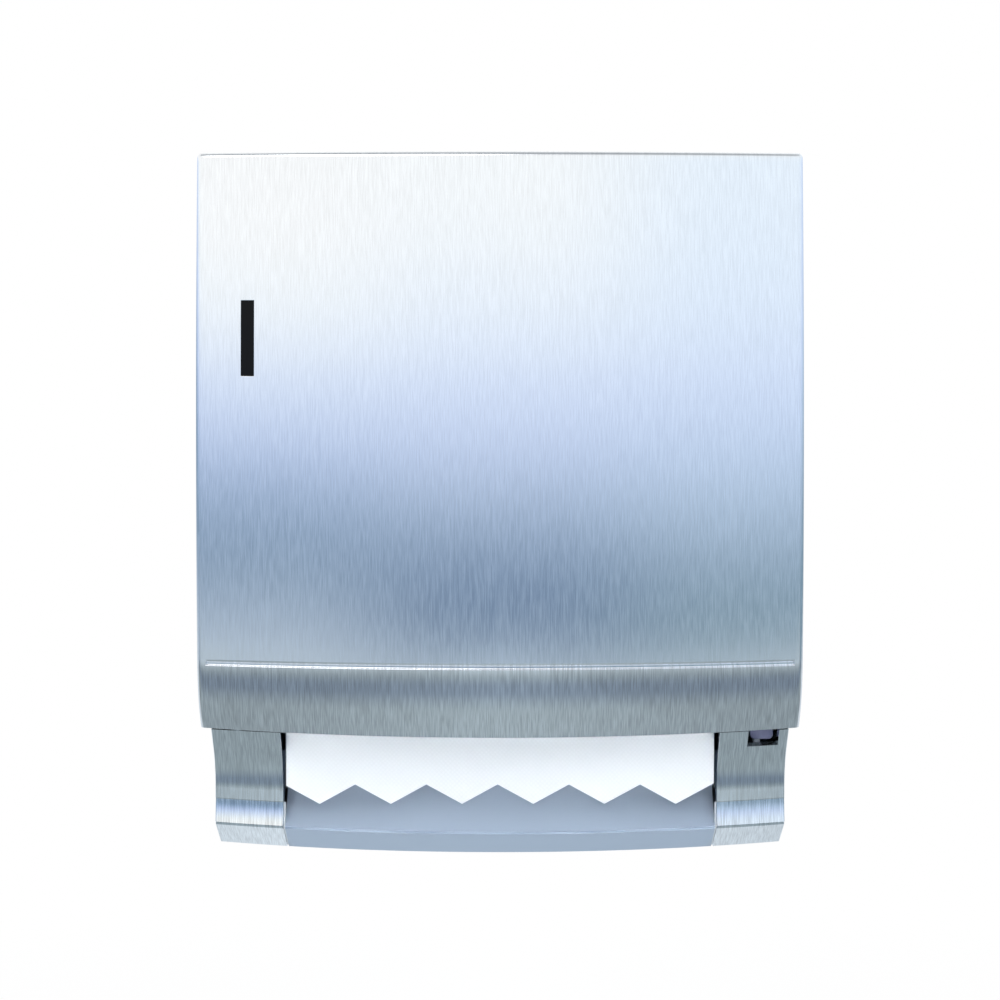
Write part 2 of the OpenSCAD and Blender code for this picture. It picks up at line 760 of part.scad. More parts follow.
// Outline of a side frame, as [distance from the wall, height]: a foot, a nose that holds the pinch pivot,
// a post up to the hub and a shoulder down to the plate
module frame_outline() polygon([
    [plate_t, frame_foot_h], [drive_d + bush_r - 1, frame_foot_h], [nose_d, pivot_h - nose_h],
    [nose_d, pivot_h + nose_h], [nose_back_d, pivot_h + nose_h * 1.5],
    [roll_axis_d + flange_r, (pivot_h * 2 + roll_h) / 3], [roll_axis_d + flange_r, frame_top_h],
    [roll_axis_d + flange_r / 2, roll_h + flange_r], [roll_axis_d - flange_r / 2, roll_h + flange_r],
    [shoulder_d, frame_top_h], [plate_t, frame_top_h]]);

module frame_flange_block(x0, x1) difference() {
    block(x0, x1, plate_t, plate_t + frame_t, frame_foot_h, frame_top_h);
    for (h = screw_heights) post((x0 + x1) / 2, 0, plate_t + frame_t + over, h, screw_r);
}

module left_frame() color("lightsteelblue") placed() {
    difference() {
        side_plate(left_out_x, frame_t) frame_outline();
        rod(left_out_x - over, left_x + over, drive_d, nip_h, bush_r);
        rod(left_out_x - over, left_x + over, pivot_d, pivot_h, pivot_r);
        rod(left_out_x - over, left_x + over, idler_d, idler_h, axle_r);
        rod(left_out_x - over, left_x + over, pinion_d, idler_h, motor_nose_r);
        rod(left_out_x - over, left_x + over, bay_d, bay_h, bay_r);
    }
    frame_flange_block(left_x, left_x + frame_flange);
}

module right_frame() color("lightsteelblue") placed() {
    difference() {
        union() {
            side_plate(right_x, frame_t) frame_outline();
            rod(right_out_x, right_out_x + boss_len, roll_axis_d, roll_h, boss_r);
        }
        rod(right_x - over, right_out_x + boss_len + over, roll_axis_d, roll_h, stem_r + run_clear);
        rod(right_x - over, right_out_x + over, drive_d, nip_h, bush_r);
        rod(right_x - over, right_out_x + over, pivot_d, pivot_h, pivot_r);
        rod(right_x - over, right_out_x + over, bay_d, bay_h, bay_r);
    }
    frame_flange_block(right_x - frame_flange, right_x);
}

module frame_screws() color("dimgray") placed()
    for (x = [left_x + frame_flange / 2, right_x - frame_flange / 2], h = screw_heights) {
        post(x, plate_t, plate_t + frame_t, h, screw_r);
        post(x, plate_t + frame_t, plate_t + frame_t + screw_r, h, screw_r * 2);
    }

// The whole bowed base between the wall and the legs' front, set in by off
module base_core(off, up) bowed(leg_axis, leg_out) polygon(concat(
    [[-behind, off], [-behind, leg_top_h + up]], leg_front(off, up),
    off > 0 ? [[crease_d - off / cos(cove_angle), crease_h], [foot_d - off, off]]
        : concat(crease_in, [[foot_d, 0]])));

module leg_room() intersection() {
    base_core(leg_wall, lip_h - cove_h);
    block(leg_in + leg_wall, leg_out - leg_wall, plate_t + leg_wall, front_d, 0, seam_h);
}

module leg_shell() difference() {
    intersection() {
        base_core(0, 0);
        block(leg_in, leg_out, plate_t, front_d, -over, leg_top_h + over);
    }
    leg_room();
}

module left_leg() color([0.62, 0.68, 0.72]) placed() mirror([1, 0, 0]) leg_shell();

module right_leg() color([0.62, 0.68, 0.72]) placed() difference() {
    leg_shell();
    block(bolt_x - notch_w / 2, bolt_x + notch_w / 2, guide_back_d, front_d, notch_h, leg_top_h + over);
}

module exit_scoop() color([0.66, 0.72, 0.8]) placed() intersection() {
    bowed(leg_axis, leg_out) polygon([
        [pan_front_d, 0], [foot_d, 0], crease_in[1], crease_in[0], [crease_d, crease_top_h],
        [ramp_top_d, ramp_top_h], [ramp_top_d, ramp_top_h - ramp_drop],
        [crease_d - ramp_back, crease_h], [foot_d - scoop_t / 3, scoop_t], [pan_front_d, scoop_t]]);
    block(-scoop_x, scoop_x, 0, front_d, -over, ramp_top_h + over);
}

module base_pan() color([0.5, 0.55, 0.6]) placed() difference() {
    union() {
        intersection() {
            bowed(leg_axis, leg_out) translate([-behind, 0]) square([pan_front_d + behind, pan_t]);
            block(-leg_in, leg_in, plate_t, front_d, -over, pan_t + over);
        }
        block(-leg_in, leg_in, plate_t, plate_t + pan_t, pan_t, pan_wall_h);
        both_sides() block(leg_in - pan_t, leg_in, plate_t + pan_t, pan_rib_d, pan_t, pan_rib_h);
    }
    stud(0, sensor_d, -over, pan_t + over, sensor_r);
}

module sensor_window() color([0.25, 0.05, 0.08]) placed() {
    stud(0, sensor_d, sensor_sink, pan_t, sensor_r - slot_clear);
    stud(0, sensor_d, pan_t, pan_t + sensor_rim_h, sensor_r + sensor_rim);
}

module sensor_board() color("darkgreen") placed() {
    block(-sensor_half_w, sensor_half_w, sensor_d - sensor_half_d, sensor_d + sensor_half_d,
        sensor_h, sensor_h + board_t);
    for (x = [-post_x, post_x], d = [-post_d, post_d]) stud(x, sensor_d + d, pan_t, sensor_h, post_r);
    for (x = [-eye_x, eye_x]) stud(x, sensor_d, pan_t + sensor_rim_h + eye_gap, sensor_h, eye_r);
}

// Zigzag of the tear teeth: points down at the tips, from left to right
function zigzag(reach, low, shift) =
    let (last = (teeth - 1) / 2)
    concat(
        [[-reach, low + tooth_h * abs((-reach - shift) / tooth_pitch + last) * 2]],
        [for (i = [0:2 * teeth - 2]) [(i / 2 - last) * tooth_pitch + shift, low + (i % 2) * tooth_h]],
        [[reach, low + tooth_h * abs((reach - shift) / tooth_pitch - last) * 2]]);

module paper_tail() color("white") placed() front_plate(paper_back_d, paper_t)
    polygon(concat(zigzag(paper_w / 2, tip_h, tooth_shift),
        [[paper_w / 2, tail_top_h], [-paper_w / 2, tail_top_h]]));

module paper_web() color("white") placed() side_plate(-paper_w / 2, paper_w) polygon([
    [paper_back_d, tail_top_h], [paper_front_d, tail_top_h], [paper_front_d, bend_h],
    [web_top[0] + paper_t / 2, web_top[1]], [web_top[0] - paper_t / 2, web_top[1]], [paper_back_d, bend_h]]);

module paper_roll() color("white") placed() difference() {
    rod(-roll_w / 2, roll_w / 2, roll_axis_d, roll_h, roll_d / 2);
    rod(-roll_w / 2 - over, roll_w / 2 + over, roll_axis_d, roll_h, core_d / 2);
}

module roll_core() color("tan") placed() difference() {
    rod(-roll_w / 2, roll_w / 2, roll_axis_d, roll_h, core_d / 2);
    rod(-roll_w / 2 - over, roll_w / 2 + over, roll_axis_d, roll_h, core_r);
}

// A hub's nose along +x: a plain bearing length with a tapered tip
module hub_nose(x0) translate([x0, -roll_axis_d, roll_h]) rotate([0, 90, 0]) rotate_extrude() polygon([
    [0, 0], [nose_r, 0], [nose_r, nose_len * 0.6], [nose_r - nose_taper, nose_len], [0, nose_len]]);

module left_hub() color("whitesmoke") placed() {
    rod(left_x, left_x + left_room - roll_gap, roll_axis_d, roll_h, flange_r);
    hub_nose(left_x + left_room - roll_gap);
}

module right_hub() color("whitesmoke") placed() {
    mirror([1, 0, 0]) hub_nose(flange_t - hub_face_x);
    rod(hub_face_x - flange_t, hub_face_x, roll_axis_d, roll_h, flange_r);
    rod(hub_face_x, stem_end_x, roll_axis_d, roll_h, stem_r);
}

module hub_clip() color("dimgray") placed() difference() {
    rod(right_out_x + boss_len, right_out_x + boss_len + clip_t, roll_axis_d, roll_h, stem_r + clip_r);
    rod(right_x, stem_end_x, roll_axis_d, roll_h, stem_r);
}

// One ring of a wound wire: its middle and its outward direction
function coil_ring(a, x, r, along) =
    [[x, r * cos(a) - along * sin(a), r * sin(a) + along * cos(a)], [0, cos(a), sin(a)]];

// A round wire wound about an axis along x, with a straight end of length tail at each side
module coil(len, mean_r, wire, turns, tail) {
    sides = 6;
    per_turn = 12;
    last = turns * per_turn;
    path = concat(
        tail > 0 ? [coil_ring(0, 0, mean_r, -tail)] : [],
        [for (i = [0:last]) coil_ring(360 * i / per_turn, len * i / last, mean_r, 0)],
        tail > 0 ? [coil_ring(360 * turns, len, mean_r, tail)] : []);
    rings = len(path);
    pts = [for (p = path, k = [0:sides - 1])
        p[0] + wire / 2 * (cos(360 * k / sides) * p[1] + sin(360 * k / sides) * [1, 0, 0])];
    skin = [for (i = [0:rings - 2], k = [0:sides - 1], side = [0, 1])
        let (a = i * sides + k, b = i * sides + (k + 1) % sides)
        side == 0 ? [a, b, b + sides] : [a, b + sides, a + sides]];
    caps = concat([for (k = [1:sides - 2]) [0, k + 1, k]],
        [for (k = [1:sides - 2]) let (o = (rings - 1) * sides) [o, o + k, o + k + 1]]);
    polyhedron(pts, concat(skin, caps));
}

module hub_spring() color("gray") placed()
    translate([hub_face_x + hub_wire / 2 + run_clear, -roll_axis_d, roll_h])
        coil(hub_room - hub_wire - 2 * run_clear, stem_r + 2 * hub_wire, hub_wire, hub_turns, 0);

// Involute tooth outline: half the tooth's angle at radius r, for n teeth
function inv(r, rb) = tan(acos(rb / r)) * 180 / PI - acos(rb / r);
function tooth_half(r, n) = let (rp = gear_m * n / 2, rb = rp * cos(pressure))
    90 / n - backlash / 2 / rp * 90 / PI + inv(rp, rb) - inv(max(r, rb), rb);
function gear_pts(n) =
    let (
        rp = gear_m * n / 2,
        root = rp - tooth_down,
        low = max(root, rp * cos(pressure)),
        tip = rp + tooth_up,
        radii = [root, low, low + (tip - low) / 2, tip],
        steps = root < low ? [0, 1, 2, 3] : [0, 2, 3]
    )
    [for (i = [0:n - 1], side = [-1, 1], k = side < 0 ? steps : [for (j = [len(steps) - 1:-1:0]) steps[j]])
        let (a = 360 * i / n + side * tooth_half(radii[k], n)) radii[k] * [cos(a), sin(a)]];

// A gear on an axis along x, from x0, turned by phase
module gear(x0, d, h, n, phase)
    translate([x0, -d, h]) rotate([90, 0, 90]) rotate([0, 0, phase]) linear_extrude(gear_w)
        polygon(gear_pts(n));

module motor() color("gray") placed() difference() {
    union() {
        rod(left_x, left_x + motor_len, pinion_d, idler_h, motor_r);
        rod(left_out_x + gear_step / 2, left_x, pinion_d, idler_h, motor_nose_r - clip_gap);
        rod(left_x + motor_len, left_x + motor_len + motor_tail, pinion_d, idler_h, motor_r / 3);
    }
    rod(left_out_x, left_x + motor_depth, pinion_d, idler_h, motor_shaft_r + run_clear);
}

module motor_shaft() color("silver") placed()
    rod(gear_mid_x, left_x + motor_depth - gear_step, pinion_d, idler_h, motor_shaft_r);

module motor_pinion() color("goldenrod") placed() difference() {
    gear(gear_mid_x, pinion_d, idler_h, pinion_n, 180);
    rod(gear_mid_x - over, gear_in_x + over, pinion_d, idler_h, motor_shaft_r);
}

module idler_gear() color("ivory") placed() difference() {
    union() {
        gear(gear_mid_x, idler_d, idler_h, idler_n, 180 / idler_n);
        gear(gear_out_x, idler_d, idler_h, small_n, 180 + idler_rise);
        rod(gear_out_x, gear_in_x, idler_d, idler_h, gear_m * small_n / 2 - tooth_down);
    }
    rod(gear_out_x - over, gear_in_x + over, idler_d, idler_h, axle_r + run_clear);
}

module gear_axle() color("silver") placed() {
    rod(gear_out_x - clip_t - clip_gap, left_x, idler_d, idler_h, axle_r);
    rod(gear_in_x + clip_gap, left_out_x, idler_d, idler_h, axle_r + clip_r);
    rod(gear_out_x - clip_t - clip_gap, gear_out_x - clip_gap, idler_d, idler_h, axle_r + clip_r);
}

module drive_gear() color("ivory") placed() difference() {
    union() {
        gear(gear_out_x, drive_d, nip_h, drive_n, idler_rise + 180 / drive_n);
        rod(shaft_left_x, gear_far_x, drive_d, nip_h, gear_hub_r);
    }
    rod(shaft_left_x - over, gear_far_x + over, drive_d, nip_h, shaft_r);
    for (i = [1:gear_holes]) rotate_about(drive_d, nip_h, 360 * i / gear_holes)
        rod(gear_out_x - over, gear_far_x + over, drive_d - hole_ring_r, nip_h, gear_hole_r);
}

module drive_shaft() color("silver") placed() rod(shaft_left_x, shaft_right_x, drive_d, nip_h, shaft_r);

module drive_sleeve() color([0.25, 0.25, 0.28]) placed() difference() {
    rod(-drive_half, drive_half, drive_d, nip_h, drive_r);
    rod(-drive_half - over, drive_half + over, drive_d, nip_h, shaft_r);
}

// A flanged bush pressed into a frame from inside, with its flange on the frame's inner face at x = 0
module bush() difference() {
    union() {
        rod(0, frame_t + bush_over, drive_d, nip_h, bush_r);
        rod(-bush_flange, 0, drive_d, nip_h, bush_r + clip_r);
    }
    rod(-bush_flange - over, frame_t + bush_over + over, drive_d, nip_h, shaft_r + run_clear);
}

module roller_bushes() color("peru") placed() {
    translate([left_x, 0, 0]) mirror([1, 0, 0]) bush();
    translate([right_x, 0, 0]) bush();
}

module shaft_clip() color("dimgray") placed() difference() {
    rod(shaft_clip_x, shaft_clip_x + clip_t, drive_d, nip_h, shaft_r + clip_r);
    rod(shaft_clip_x - over, shaft_right_x + over, drive_d, nip_h, shaft_r);
}

module pinch_pivot() color("silver") placed() rod(left_out_x, right_out_x, pivot_d, pivot_h, pivot_r);

module pinch_frame() color("whitesmoke") placed() difference() {
    union() {
        rod(-tube_x, tube_x, pivot_d, pivot_h, pivot_r + arm_end_r);
        both_sides() {
            rod(arm_x, arm_out_x, pinch_d, nip_h, pinch_shaft_r + arm_end_r);
            side_plate(arm_x, arm_t)
                polygon([arm_foot - arm_step, arm_foot + arm_step, arm_head + arm_step, arm_head - arm_step]);
        }
    }
    rod(-tube_x - over, tube_x + over, pivot_d, pivot_h, pivot_r + run_clear);
    both_sides() rod(arm_x - over, arm_out_x + over, pinch_d, nip_h, pinch_shaft_r + run_clear);
}

module pinch_shaft() color("silver") placed()
    rod(-arm_out_x, arm_out_x, pinch_d, nip_h, pinch_shaft_r);

module pinch_tyres() color([0.25, 0.25, 0.28]) placed() for (i = [-1:1]) difference() {
    mid_x = i * (tyre_len + tyre_space);
    rod(mid_x - tyre_len / 2, mid_x + tyre_len / 2, pinch_d, nip_h, pinch_r);
    rod(-arm_x, arm_x, pinch_d, nip_h, pinch_shaft_r);
}

module pinch_springs() color("gray") placed() both_sides() translate([spring_x, -pivot_d, pivot_h])
    coil(spring_len, pivot_r + spring_wire, spring_wire, 4, spring_leg);

module tear_bar() color("gray") placed()
    block(-leg_in - leg_wall, leg_in + leg_wall, bar_d, bar_d + bar_w, leg_top_h, leg_top_h + bar_h);

module tear_blade() color("silver") placed() front_plate(bar_d - blade_t, blade_t)
    polygon(concat(zigzag(scoop_x, blade_tip_h, 0), [[scoop_x, blade_top_h], [-scoop_x, blade_top_h]]));

module battery_box() color([0.3, 0.32, 0.35]) placed() {
    difference() {
        block(-box_out_x, box_out_x, plate_t, box_front_d, box_h, box_top_h);
        block(-box_in_x, box_in_x, plate_t + box_wall, box_front_d + over,
            box_h + box_wall, box_top_h - box_wall);
    }
    both_sides() difference() {
        union() {
            rod(stud_x, stud_x + ear_w, door_mid_d, stud_h, stud_r + stud_wall);
            block(stud_x, stud_x + ear_w, box_front_d - 2 * ear_w, door_mid_d,
                stud_h - stud_r - stud_wall, box_h);
        }
        rod(stud_x - over, stud_x + ear_w + over, door_mid_d, stud_h, stud_r + run_clear);
    }
}

// Height of the middle of a row of cells
function row_h(row) = box_h + box_wall + row * cell_pitch + cell_r;

module batteries() color("darkslategray") placed()
    for (row = [0, 1]) both_sides() rod(cell_gap, cell_gap + cell_len, cell_d, row_h(row), cell_r);

module cell_contacts() color("goldenrod") placed() for (row = [0, 1]) both_sides()
    front_plate(cell_d - contact_w / 2, contact_w) translate([0, row_h(row)]) polygon([
        [box_in_x, -contact_h], [contact_tip_x, 0], [box_in_x, contact_h],
        [box_in_x, contact_h - contact_foot], [contact_tip_x + contact_in, 0],
        [box_in_x, contact_foot - contact_h]]);

module battery_door() color([0.38, 0.4, 0.44]) placed() {
    back_d = door_mid_d - door_t / 2;
    face_d = door_mid_d + door_t / 2;
    block(-box_in_x, box_in_x, back_d, face_d, door_foot_h, box_top_h);
    block(-stud_x + ear_gap, stud_x - ear_gap, back_d, face_d, stud_h, door_foot_h);
    rod(-stud_x + ear_gap, stud_x - ear_gap, door_mid_d, stud_h, stud_r + door_t / 2);
    rod(-stud_x - ear_w, stud_x + ear_w, door_mid_d, stud_h, stud_r);
    block(-pull_w / 2, pull_w / 2, face_d, face_d + pull_d, box_top_h - pull_h, box_top_h);
}

module control_housing() color([0.3, 0.32, 0.35]) placed() difference() {
    block(ctrl_x, ctrl_end_x, plate_t, ctrl_front_d, ctrl_foot_h, ctrl_top_h);
    block(ctrl_x + ctrl_wall, ctrl_end_x - ctrl_wall, 0, ctrl_inner_d,
        ctrl_foot_h + ctrl_wall, ctrl_top_h - ctrl_wall);
    post(button_x, ctrl_inner_d - over, ctrl_front_d + over, button_h, button_r + run_clear);
    block(switch_x - knob_w / 2 - knob_clear, switch_x + knob_w / 2 + switch_travel + knob_clear,
        ctrl_inner_d - over, ctrl_front_d + over,
        button_h - knob_h / 2 - knob_clear, button_h + knob_h / 2 + knob_clear);
}

module control_board() color("darkgreen") placed() {
    block(ctrl_x + ctrl_wall, ctrl_end_x - ctrl_wall, board_d, board_d + board_t,
        ctrl_foot_h + ctrl_wall, ctrl_top_h - ctrl_wall);
    post(button_x, board_d + board_t, tact_d, button_h, tact_r);
    block(switch_x - knob_w / 2, switch_x + knob_w / 2 + switch_travel, board_d + board_t,
        slider_back_d - slide_gap, button_h - knob_h, button_h + knob_h);
}

module feed_button() color([0.2, 0.5, 0.75]) placed() {
    post(button_x, slider_back_d + rim_t, ctrl_front_d + knob_out, button_h, button_r);
    post(button_x, slider_back_d, slider_back_d + rim_t, button_h, button_r + rim_w);
}

module power_switch() color("black") placed() {
    block(switch_x - knob_w / 2, switch_x + knob_w / 2, slider_back_d, ctrl_front_d + knob_out,
        button_h - knob_h / 2, button_h + knob_h / 2);
    block(switch_x - knob_w / 2 - rim_w, switch_x + knob_w / 2 + rim_w, slider_back_d, slider_back_d + rim_t,
        button_h - knob_h / 2 - rim_w, button_h + knob_h / 2 + rim_w);
}

// A rail of the bolt's guide, right of the bolt's middle line, with a lip over the bolt's edge
module guide_rail() {
    block(rail_in, rail_in + rail_t, bolt_d - over, rail_front_d, guide_h, guide_top_h);
    block(rail_in - rail_lip, rail_in + rail_t, rail_front_d, rail_front_d + rail_lip_t,
        bolt_h + bolt_t, guide_top_h);
}

module lock_guide() color("white") placed() intersection() {
    leg_room();
    union() {
        block(leg_in, leg_out, guide_back_d, bolt_d - bolt_clear, guide_h, guide_top_h);
        translate([bolt_x, 0, 0]) both_sides() guide_rail();
        block(bolt_x - stop_w - stop_h, bolt_x - stop_h, bolt_d - stop_w, bolt_front_d,
            guide_h - stop_h, bolt_h - bolt_clear);
    }
}

module lock_bolt() color([0.5, 0.53, 0.66]) placed() front_plate(bolt_d, bolt_t) translate([bolt_x, bolt_h]) {
    translate([-bolt_w / 2, bolt_t]) square([bolt_w, bolt_len - bolt_t]);
    translate([-bolt_w / 2 + bolt_t, 0]) square([bolt_w - 2 * bolt_t, bolt_t]);
    for (s = [-1, 1]) translate([s * (bolt_w / 2 - bolt_t), bolt_t]) circle(r = bolt_t);
}

// A tongue under the cover's skin, with a slot for the bolt that is open to the left
module lock_strike() color("gainsboro") placed() difference() {
    intersection() {
        cover_core(sheet_t, 0);
        block(strike_x, strike_end_x, strike_back_d, front_d, strike_h, strike_h + strike_t);
    }
    block(strike_x - over, bolt_x + bolt_w / 2 + strike_slot, bolt_d - strike_slot,
        bolt_front_d + strike_slot, strike_h - over, strike_h + strike_t + over);
}

back_plate();
left_frame();
right_frame();
base_pan();
left_leg();
right_leg();
exit_scoop();
tear_bar();
tear_blade();
left_hub();
right_hub();
hub_clip();
hub_spring();
battery_box();
batteries();
battery_door();
cell_contacts();
motor();
motor_shaft();
motor_pinion();
gear_axle();
idler_gear();
drive_gear();
drive_shaft();
drive_sleeve();
roller_bushes();
shaft_clip();
pinch_pivot();
pinch_frame();
pinch_shaft();
pinch_tyres();
pinch_springs();
control_housing();
control_board();
feed_button();
power_switch();
sensor_board();
sensor_window();
hinge_pins();
cover_brackets();
front_cover();
level_window();
lock_strike();
lock_guide();
lock_bolt();
paper_roll();
roll_core();
paper_web();
paper_tail();
frame_screws();
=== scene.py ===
# %% [markdown]
# # A wall-hung roll towel dispenser
# A bowed steel cover hangs over a motor-fed paper roll, on two coved legs with an open paper exit
# between them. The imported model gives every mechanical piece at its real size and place. This lesson
# dresses it: the pressed sheet-metal pieces, the moulded scoop and the paper are modelled again with
# soft edges, and every surface gets a procedural finish.

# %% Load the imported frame
import json
import math

import bmesh
import bpy
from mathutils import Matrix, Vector


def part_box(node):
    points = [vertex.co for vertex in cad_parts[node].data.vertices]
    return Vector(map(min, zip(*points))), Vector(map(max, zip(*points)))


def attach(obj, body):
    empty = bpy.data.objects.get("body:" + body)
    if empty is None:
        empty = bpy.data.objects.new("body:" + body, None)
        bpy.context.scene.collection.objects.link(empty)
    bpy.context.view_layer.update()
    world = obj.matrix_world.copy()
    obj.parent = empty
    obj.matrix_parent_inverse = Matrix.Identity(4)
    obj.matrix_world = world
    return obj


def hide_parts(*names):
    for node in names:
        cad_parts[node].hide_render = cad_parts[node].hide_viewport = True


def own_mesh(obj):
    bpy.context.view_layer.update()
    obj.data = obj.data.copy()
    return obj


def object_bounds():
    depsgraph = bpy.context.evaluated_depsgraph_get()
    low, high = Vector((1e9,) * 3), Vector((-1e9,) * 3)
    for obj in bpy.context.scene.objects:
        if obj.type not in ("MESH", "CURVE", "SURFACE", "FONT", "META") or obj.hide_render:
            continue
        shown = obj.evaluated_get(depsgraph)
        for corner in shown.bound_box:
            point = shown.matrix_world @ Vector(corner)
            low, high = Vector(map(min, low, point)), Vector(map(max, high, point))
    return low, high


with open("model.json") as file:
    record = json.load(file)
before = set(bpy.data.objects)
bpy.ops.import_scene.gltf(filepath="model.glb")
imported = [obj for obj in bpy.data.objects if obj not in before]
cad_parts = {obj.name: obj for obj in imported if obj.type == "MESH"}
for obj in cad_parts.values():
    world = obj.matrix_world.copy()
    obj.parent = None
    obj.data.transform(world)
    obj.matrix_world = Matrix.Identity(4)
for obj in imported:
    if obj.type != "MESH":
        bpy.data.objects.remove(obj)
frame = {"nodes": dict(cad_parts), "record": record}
nodes = frame["nodes"]
cad_low, cad_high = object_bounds()
MM = 0.001
print("loaded", len(nodes), "nodes, box", tuple(cad_low), tuple(cad_high))

# %% [markdown]
# ## Camera
# The dispenser was photographed almost straight on, from a little above its middle, with a long lens:
# the sides stay parallel and only the lower edges show the bow of the front. A long lens and a small
# downward tilt give that view, with no shift, so that the other views stay centred too.

# %% Place the camera
AIM = Vector((0.0, -192.7 * MM, -36.4 * MM))
CAMERA_FAR = 1.25
CAMERA_TILT = math.radians(4.5)
camera_data = bpy.data.cameras.new("camera")
camera_data.lens = 91.0
camera_data.sensor_width = 36.0
camera = bpy.data.objects.new("camera", camera_data)
bpy.context.scene.collection.objects.link(camera)
camera.location = AIM + CAMERA_FAR * Vector((0.0, -math.cos(CAMERA_TILT), math.sin(CAMERA_TILT)))
camera.rotation_euler = (math.pi / 2 - CAMERA_TILT, 0.0, 0.0)
bpy.context.scene.camera = camera
bpy.context.scene.view_settings.view_transform = "Standard"
print("camera at", tuple(camera.location))

# %% [markdown]
# ## Node trees
# The world, the floor and the finishes are all built from shader nodes. Three small helpers add a node, join
# two sockets and set a colour ramp, so that the later cells read as a list of what is joined to what.

# %% Helpers for node trees


def add_node(tree, kind, **values):
    """Adds a node and sets its properties."""
    made = tree.nodes.new(kind)
    for key, value in values.items():
        setattr(made, key, value)
    return made


def link(tree, source, target):
    """Joins an output to an input."""
    tree.links.new(source, target)


def ramp_stops(ramp, stops):
    """Sets a colour ramp to (place, colour) pairs."""
    elements = ramp.color_ramp.elements
    while len(elements) < len(stops):
        elements.new(1.0)
    for element, (place, colour) in zip(elements, stops):
        element.position = place
        element.color = (*colour, 1.0)


print("helpers: add_node, link, ramp_stops")

# %% [markdown]
# ## Studio
# Brushed steel has no colour of its own: it shows the room. The room here is a tall soft box above and
# behind the camera that fades into a blue-grey dusk near the horizon, so the leaning panel runs from
# white at its top to grey above the seam. The world does that with three ramps over the height of the
# direction, for the left, the middle and the right, and stays white for the camera itself.

# %% Choose the room's colours


def height_place(degrees):
    """Where a direction that many degrees above the horizon falls on the ramp from -90 to 90 degrees."""
    return 0.5 + 0.5 * math.sin(math.radians(degrees))


BELOW, HIGH = (-60, (0.34, 0.40, 0.44)), (75, (0.40, 0.43, 0.46))
LEFT_ROOM = [BELOW, (-8.5, (0.54, 0.64, 0.74)), (-6.5, (0.46, 0.55, 0.68)), (-4, (0.27, 0.37, 0.50)),
             (-1.6, (0.19, 0.29, 0.42)), (1.3, (0.31, 0.43, 0.62)), (4.2, (0.53, 0.65, 0.93)),
             (7.2, (0.72, 0.83, 1.04)), (12, (0.98, 1.03, 1.05)), (16, (1.04, 1.05, 1.05)),
             (50, (0.95, 0.96, 0.97)), HIGH]
MIDDLE_ROOM = [BELOW, (-8.5, (0.40, 0.50, 0.60)), (-6.2, (0.09, 0.16, 0.29)), (-4.5, (0.12, 0.20, 0.33)),
               (-1.6, (0.23, 0.33, 0.48)), (1.3, (0.42, 0.54, 0.72)), (4.2, (0.57, 0.68, 0.94)),
               (7.2, (0.70, 0.81, 1.04)), (12, (0.88, 0.96, 1.05)), (18, (1.01, 1.04, 1.05)),
               (50, (0.95, 0.96, 0.98)), HIGH]
RIGHT_ROOM = [BELOW, (-8.5, (0.36, 0.46, 0.53)), (-7, (0.16, 0.26, 0.34)), (-5, (0.17, 0.28, 0.36)),
              (-1.6, (0.33, 0.44, 0.58)), (1.3, (0.47, 0.61, 0.79)), (4.2, (0.58, 0.71, 0.94)),
              (7.2, (0.69, 0.80, 1.03)), (12, (0.80, 0.91, 1.05)), (20, (0.87, 0.96, 1.05)),
              (50, (0.90, 0.95, 1.0)), HIGH]
print("the room has", len(MIDDLE_ROOM), "heights in its middle ramp")

# %% [markdown]
# The world looks up the height of each direction in the three ramps and joins them from left to right.
# A camera ray, or one that came through something clear, sees plain white in their place.

# %% Build the world
world = bpy.data.worlds.new("studio")
bpy.context.scene.world = world
world.use_nodes = True
tree = world.node_tree
tree.nodes.clear()
where = add_node(tree, "ShaderNodeTexCoord")
split = add_node(tree, "ShaderNodeSeparateXYZ")
to_unit = add_node(tree, "ShaderNodeMapRange")
to_unit.inputs["From Min"].default_value = -1.0
link(tree, where.outputs["Generated"], split.inputs["Vector"])
link(tree, split.outputs["Z"], to_unit.inputs["Value"])
room = None
for stops, first, last in ((LEFT_ROOM, 0.0, 0.0), (MIDDLE_ROOM, -0.4, -0.05), (RIGHT_ROOM, 0.05, 0.4)):
    part = add_node(tree, "ShaderNodeValToRGB")
    ramp_stops(part, [(height_place(height), colour) for height, colour in stops])
    link(tree, to_unit.outputs["Result"], part.inputs["Fac"])
    if room is None:
        room = part.outputs["Color"]
        continue
    side = add_node(tree, "ShaderNodeMapRange", interpolation_type="SMOOTHSTEP")
    side.inputs["From Min"].default_value = first
    side.inputs["From Max"].default_value = last
    join = add_node(tree, "ShaderNodeMix", data_type="RGBA")
    link(tree, split.outputs["X"], side.inputs["Value"])
    link(tree, side.outputs["Result"], join.inputs["Factor"])
    link(tree, room, join.inputs["A"])
    link(tree, part.outputs["Color"], join.inputs["B"])
    room = join.outputs["Result"]
rays = add_node(tree, "ShaderNodeLightPath")
seen = add_node(tree, "ShaderNodeMath", operation="MAXIMUM")
room_light = add_node(tree, "ShaderNodeBackground")
backdrop = add_node(tree, "ShaderNodeBackground")
blend = add_node(tree, "ShaderNodeMixShader")
output = add_node(tree, "ShaderNodeOutputWorld")
link(tree, room, room_light.inputs["Color"])
link(tree, rays.outputs["Is Camera Ray"], seen.inputs[0])
link(tree, rays.outputs["Is Transmission Ray"], seen.inputs[1])
link(tree, seen.outputs["Value"], blend.inputs["Fac"])
link(tree, room_light.outputs["Background"], blend.inputs[1])
link(tree, backdrop.outputs["Background"], blend.inputs[2])
link(tree, blend.outputs["Shader"], output.inputs["Surface"])
backdrop.inputs["Color"].default_value = (1.0, 1.0, 1.0, 1.0)
print("world has", len(tree.nodes), "nodes")

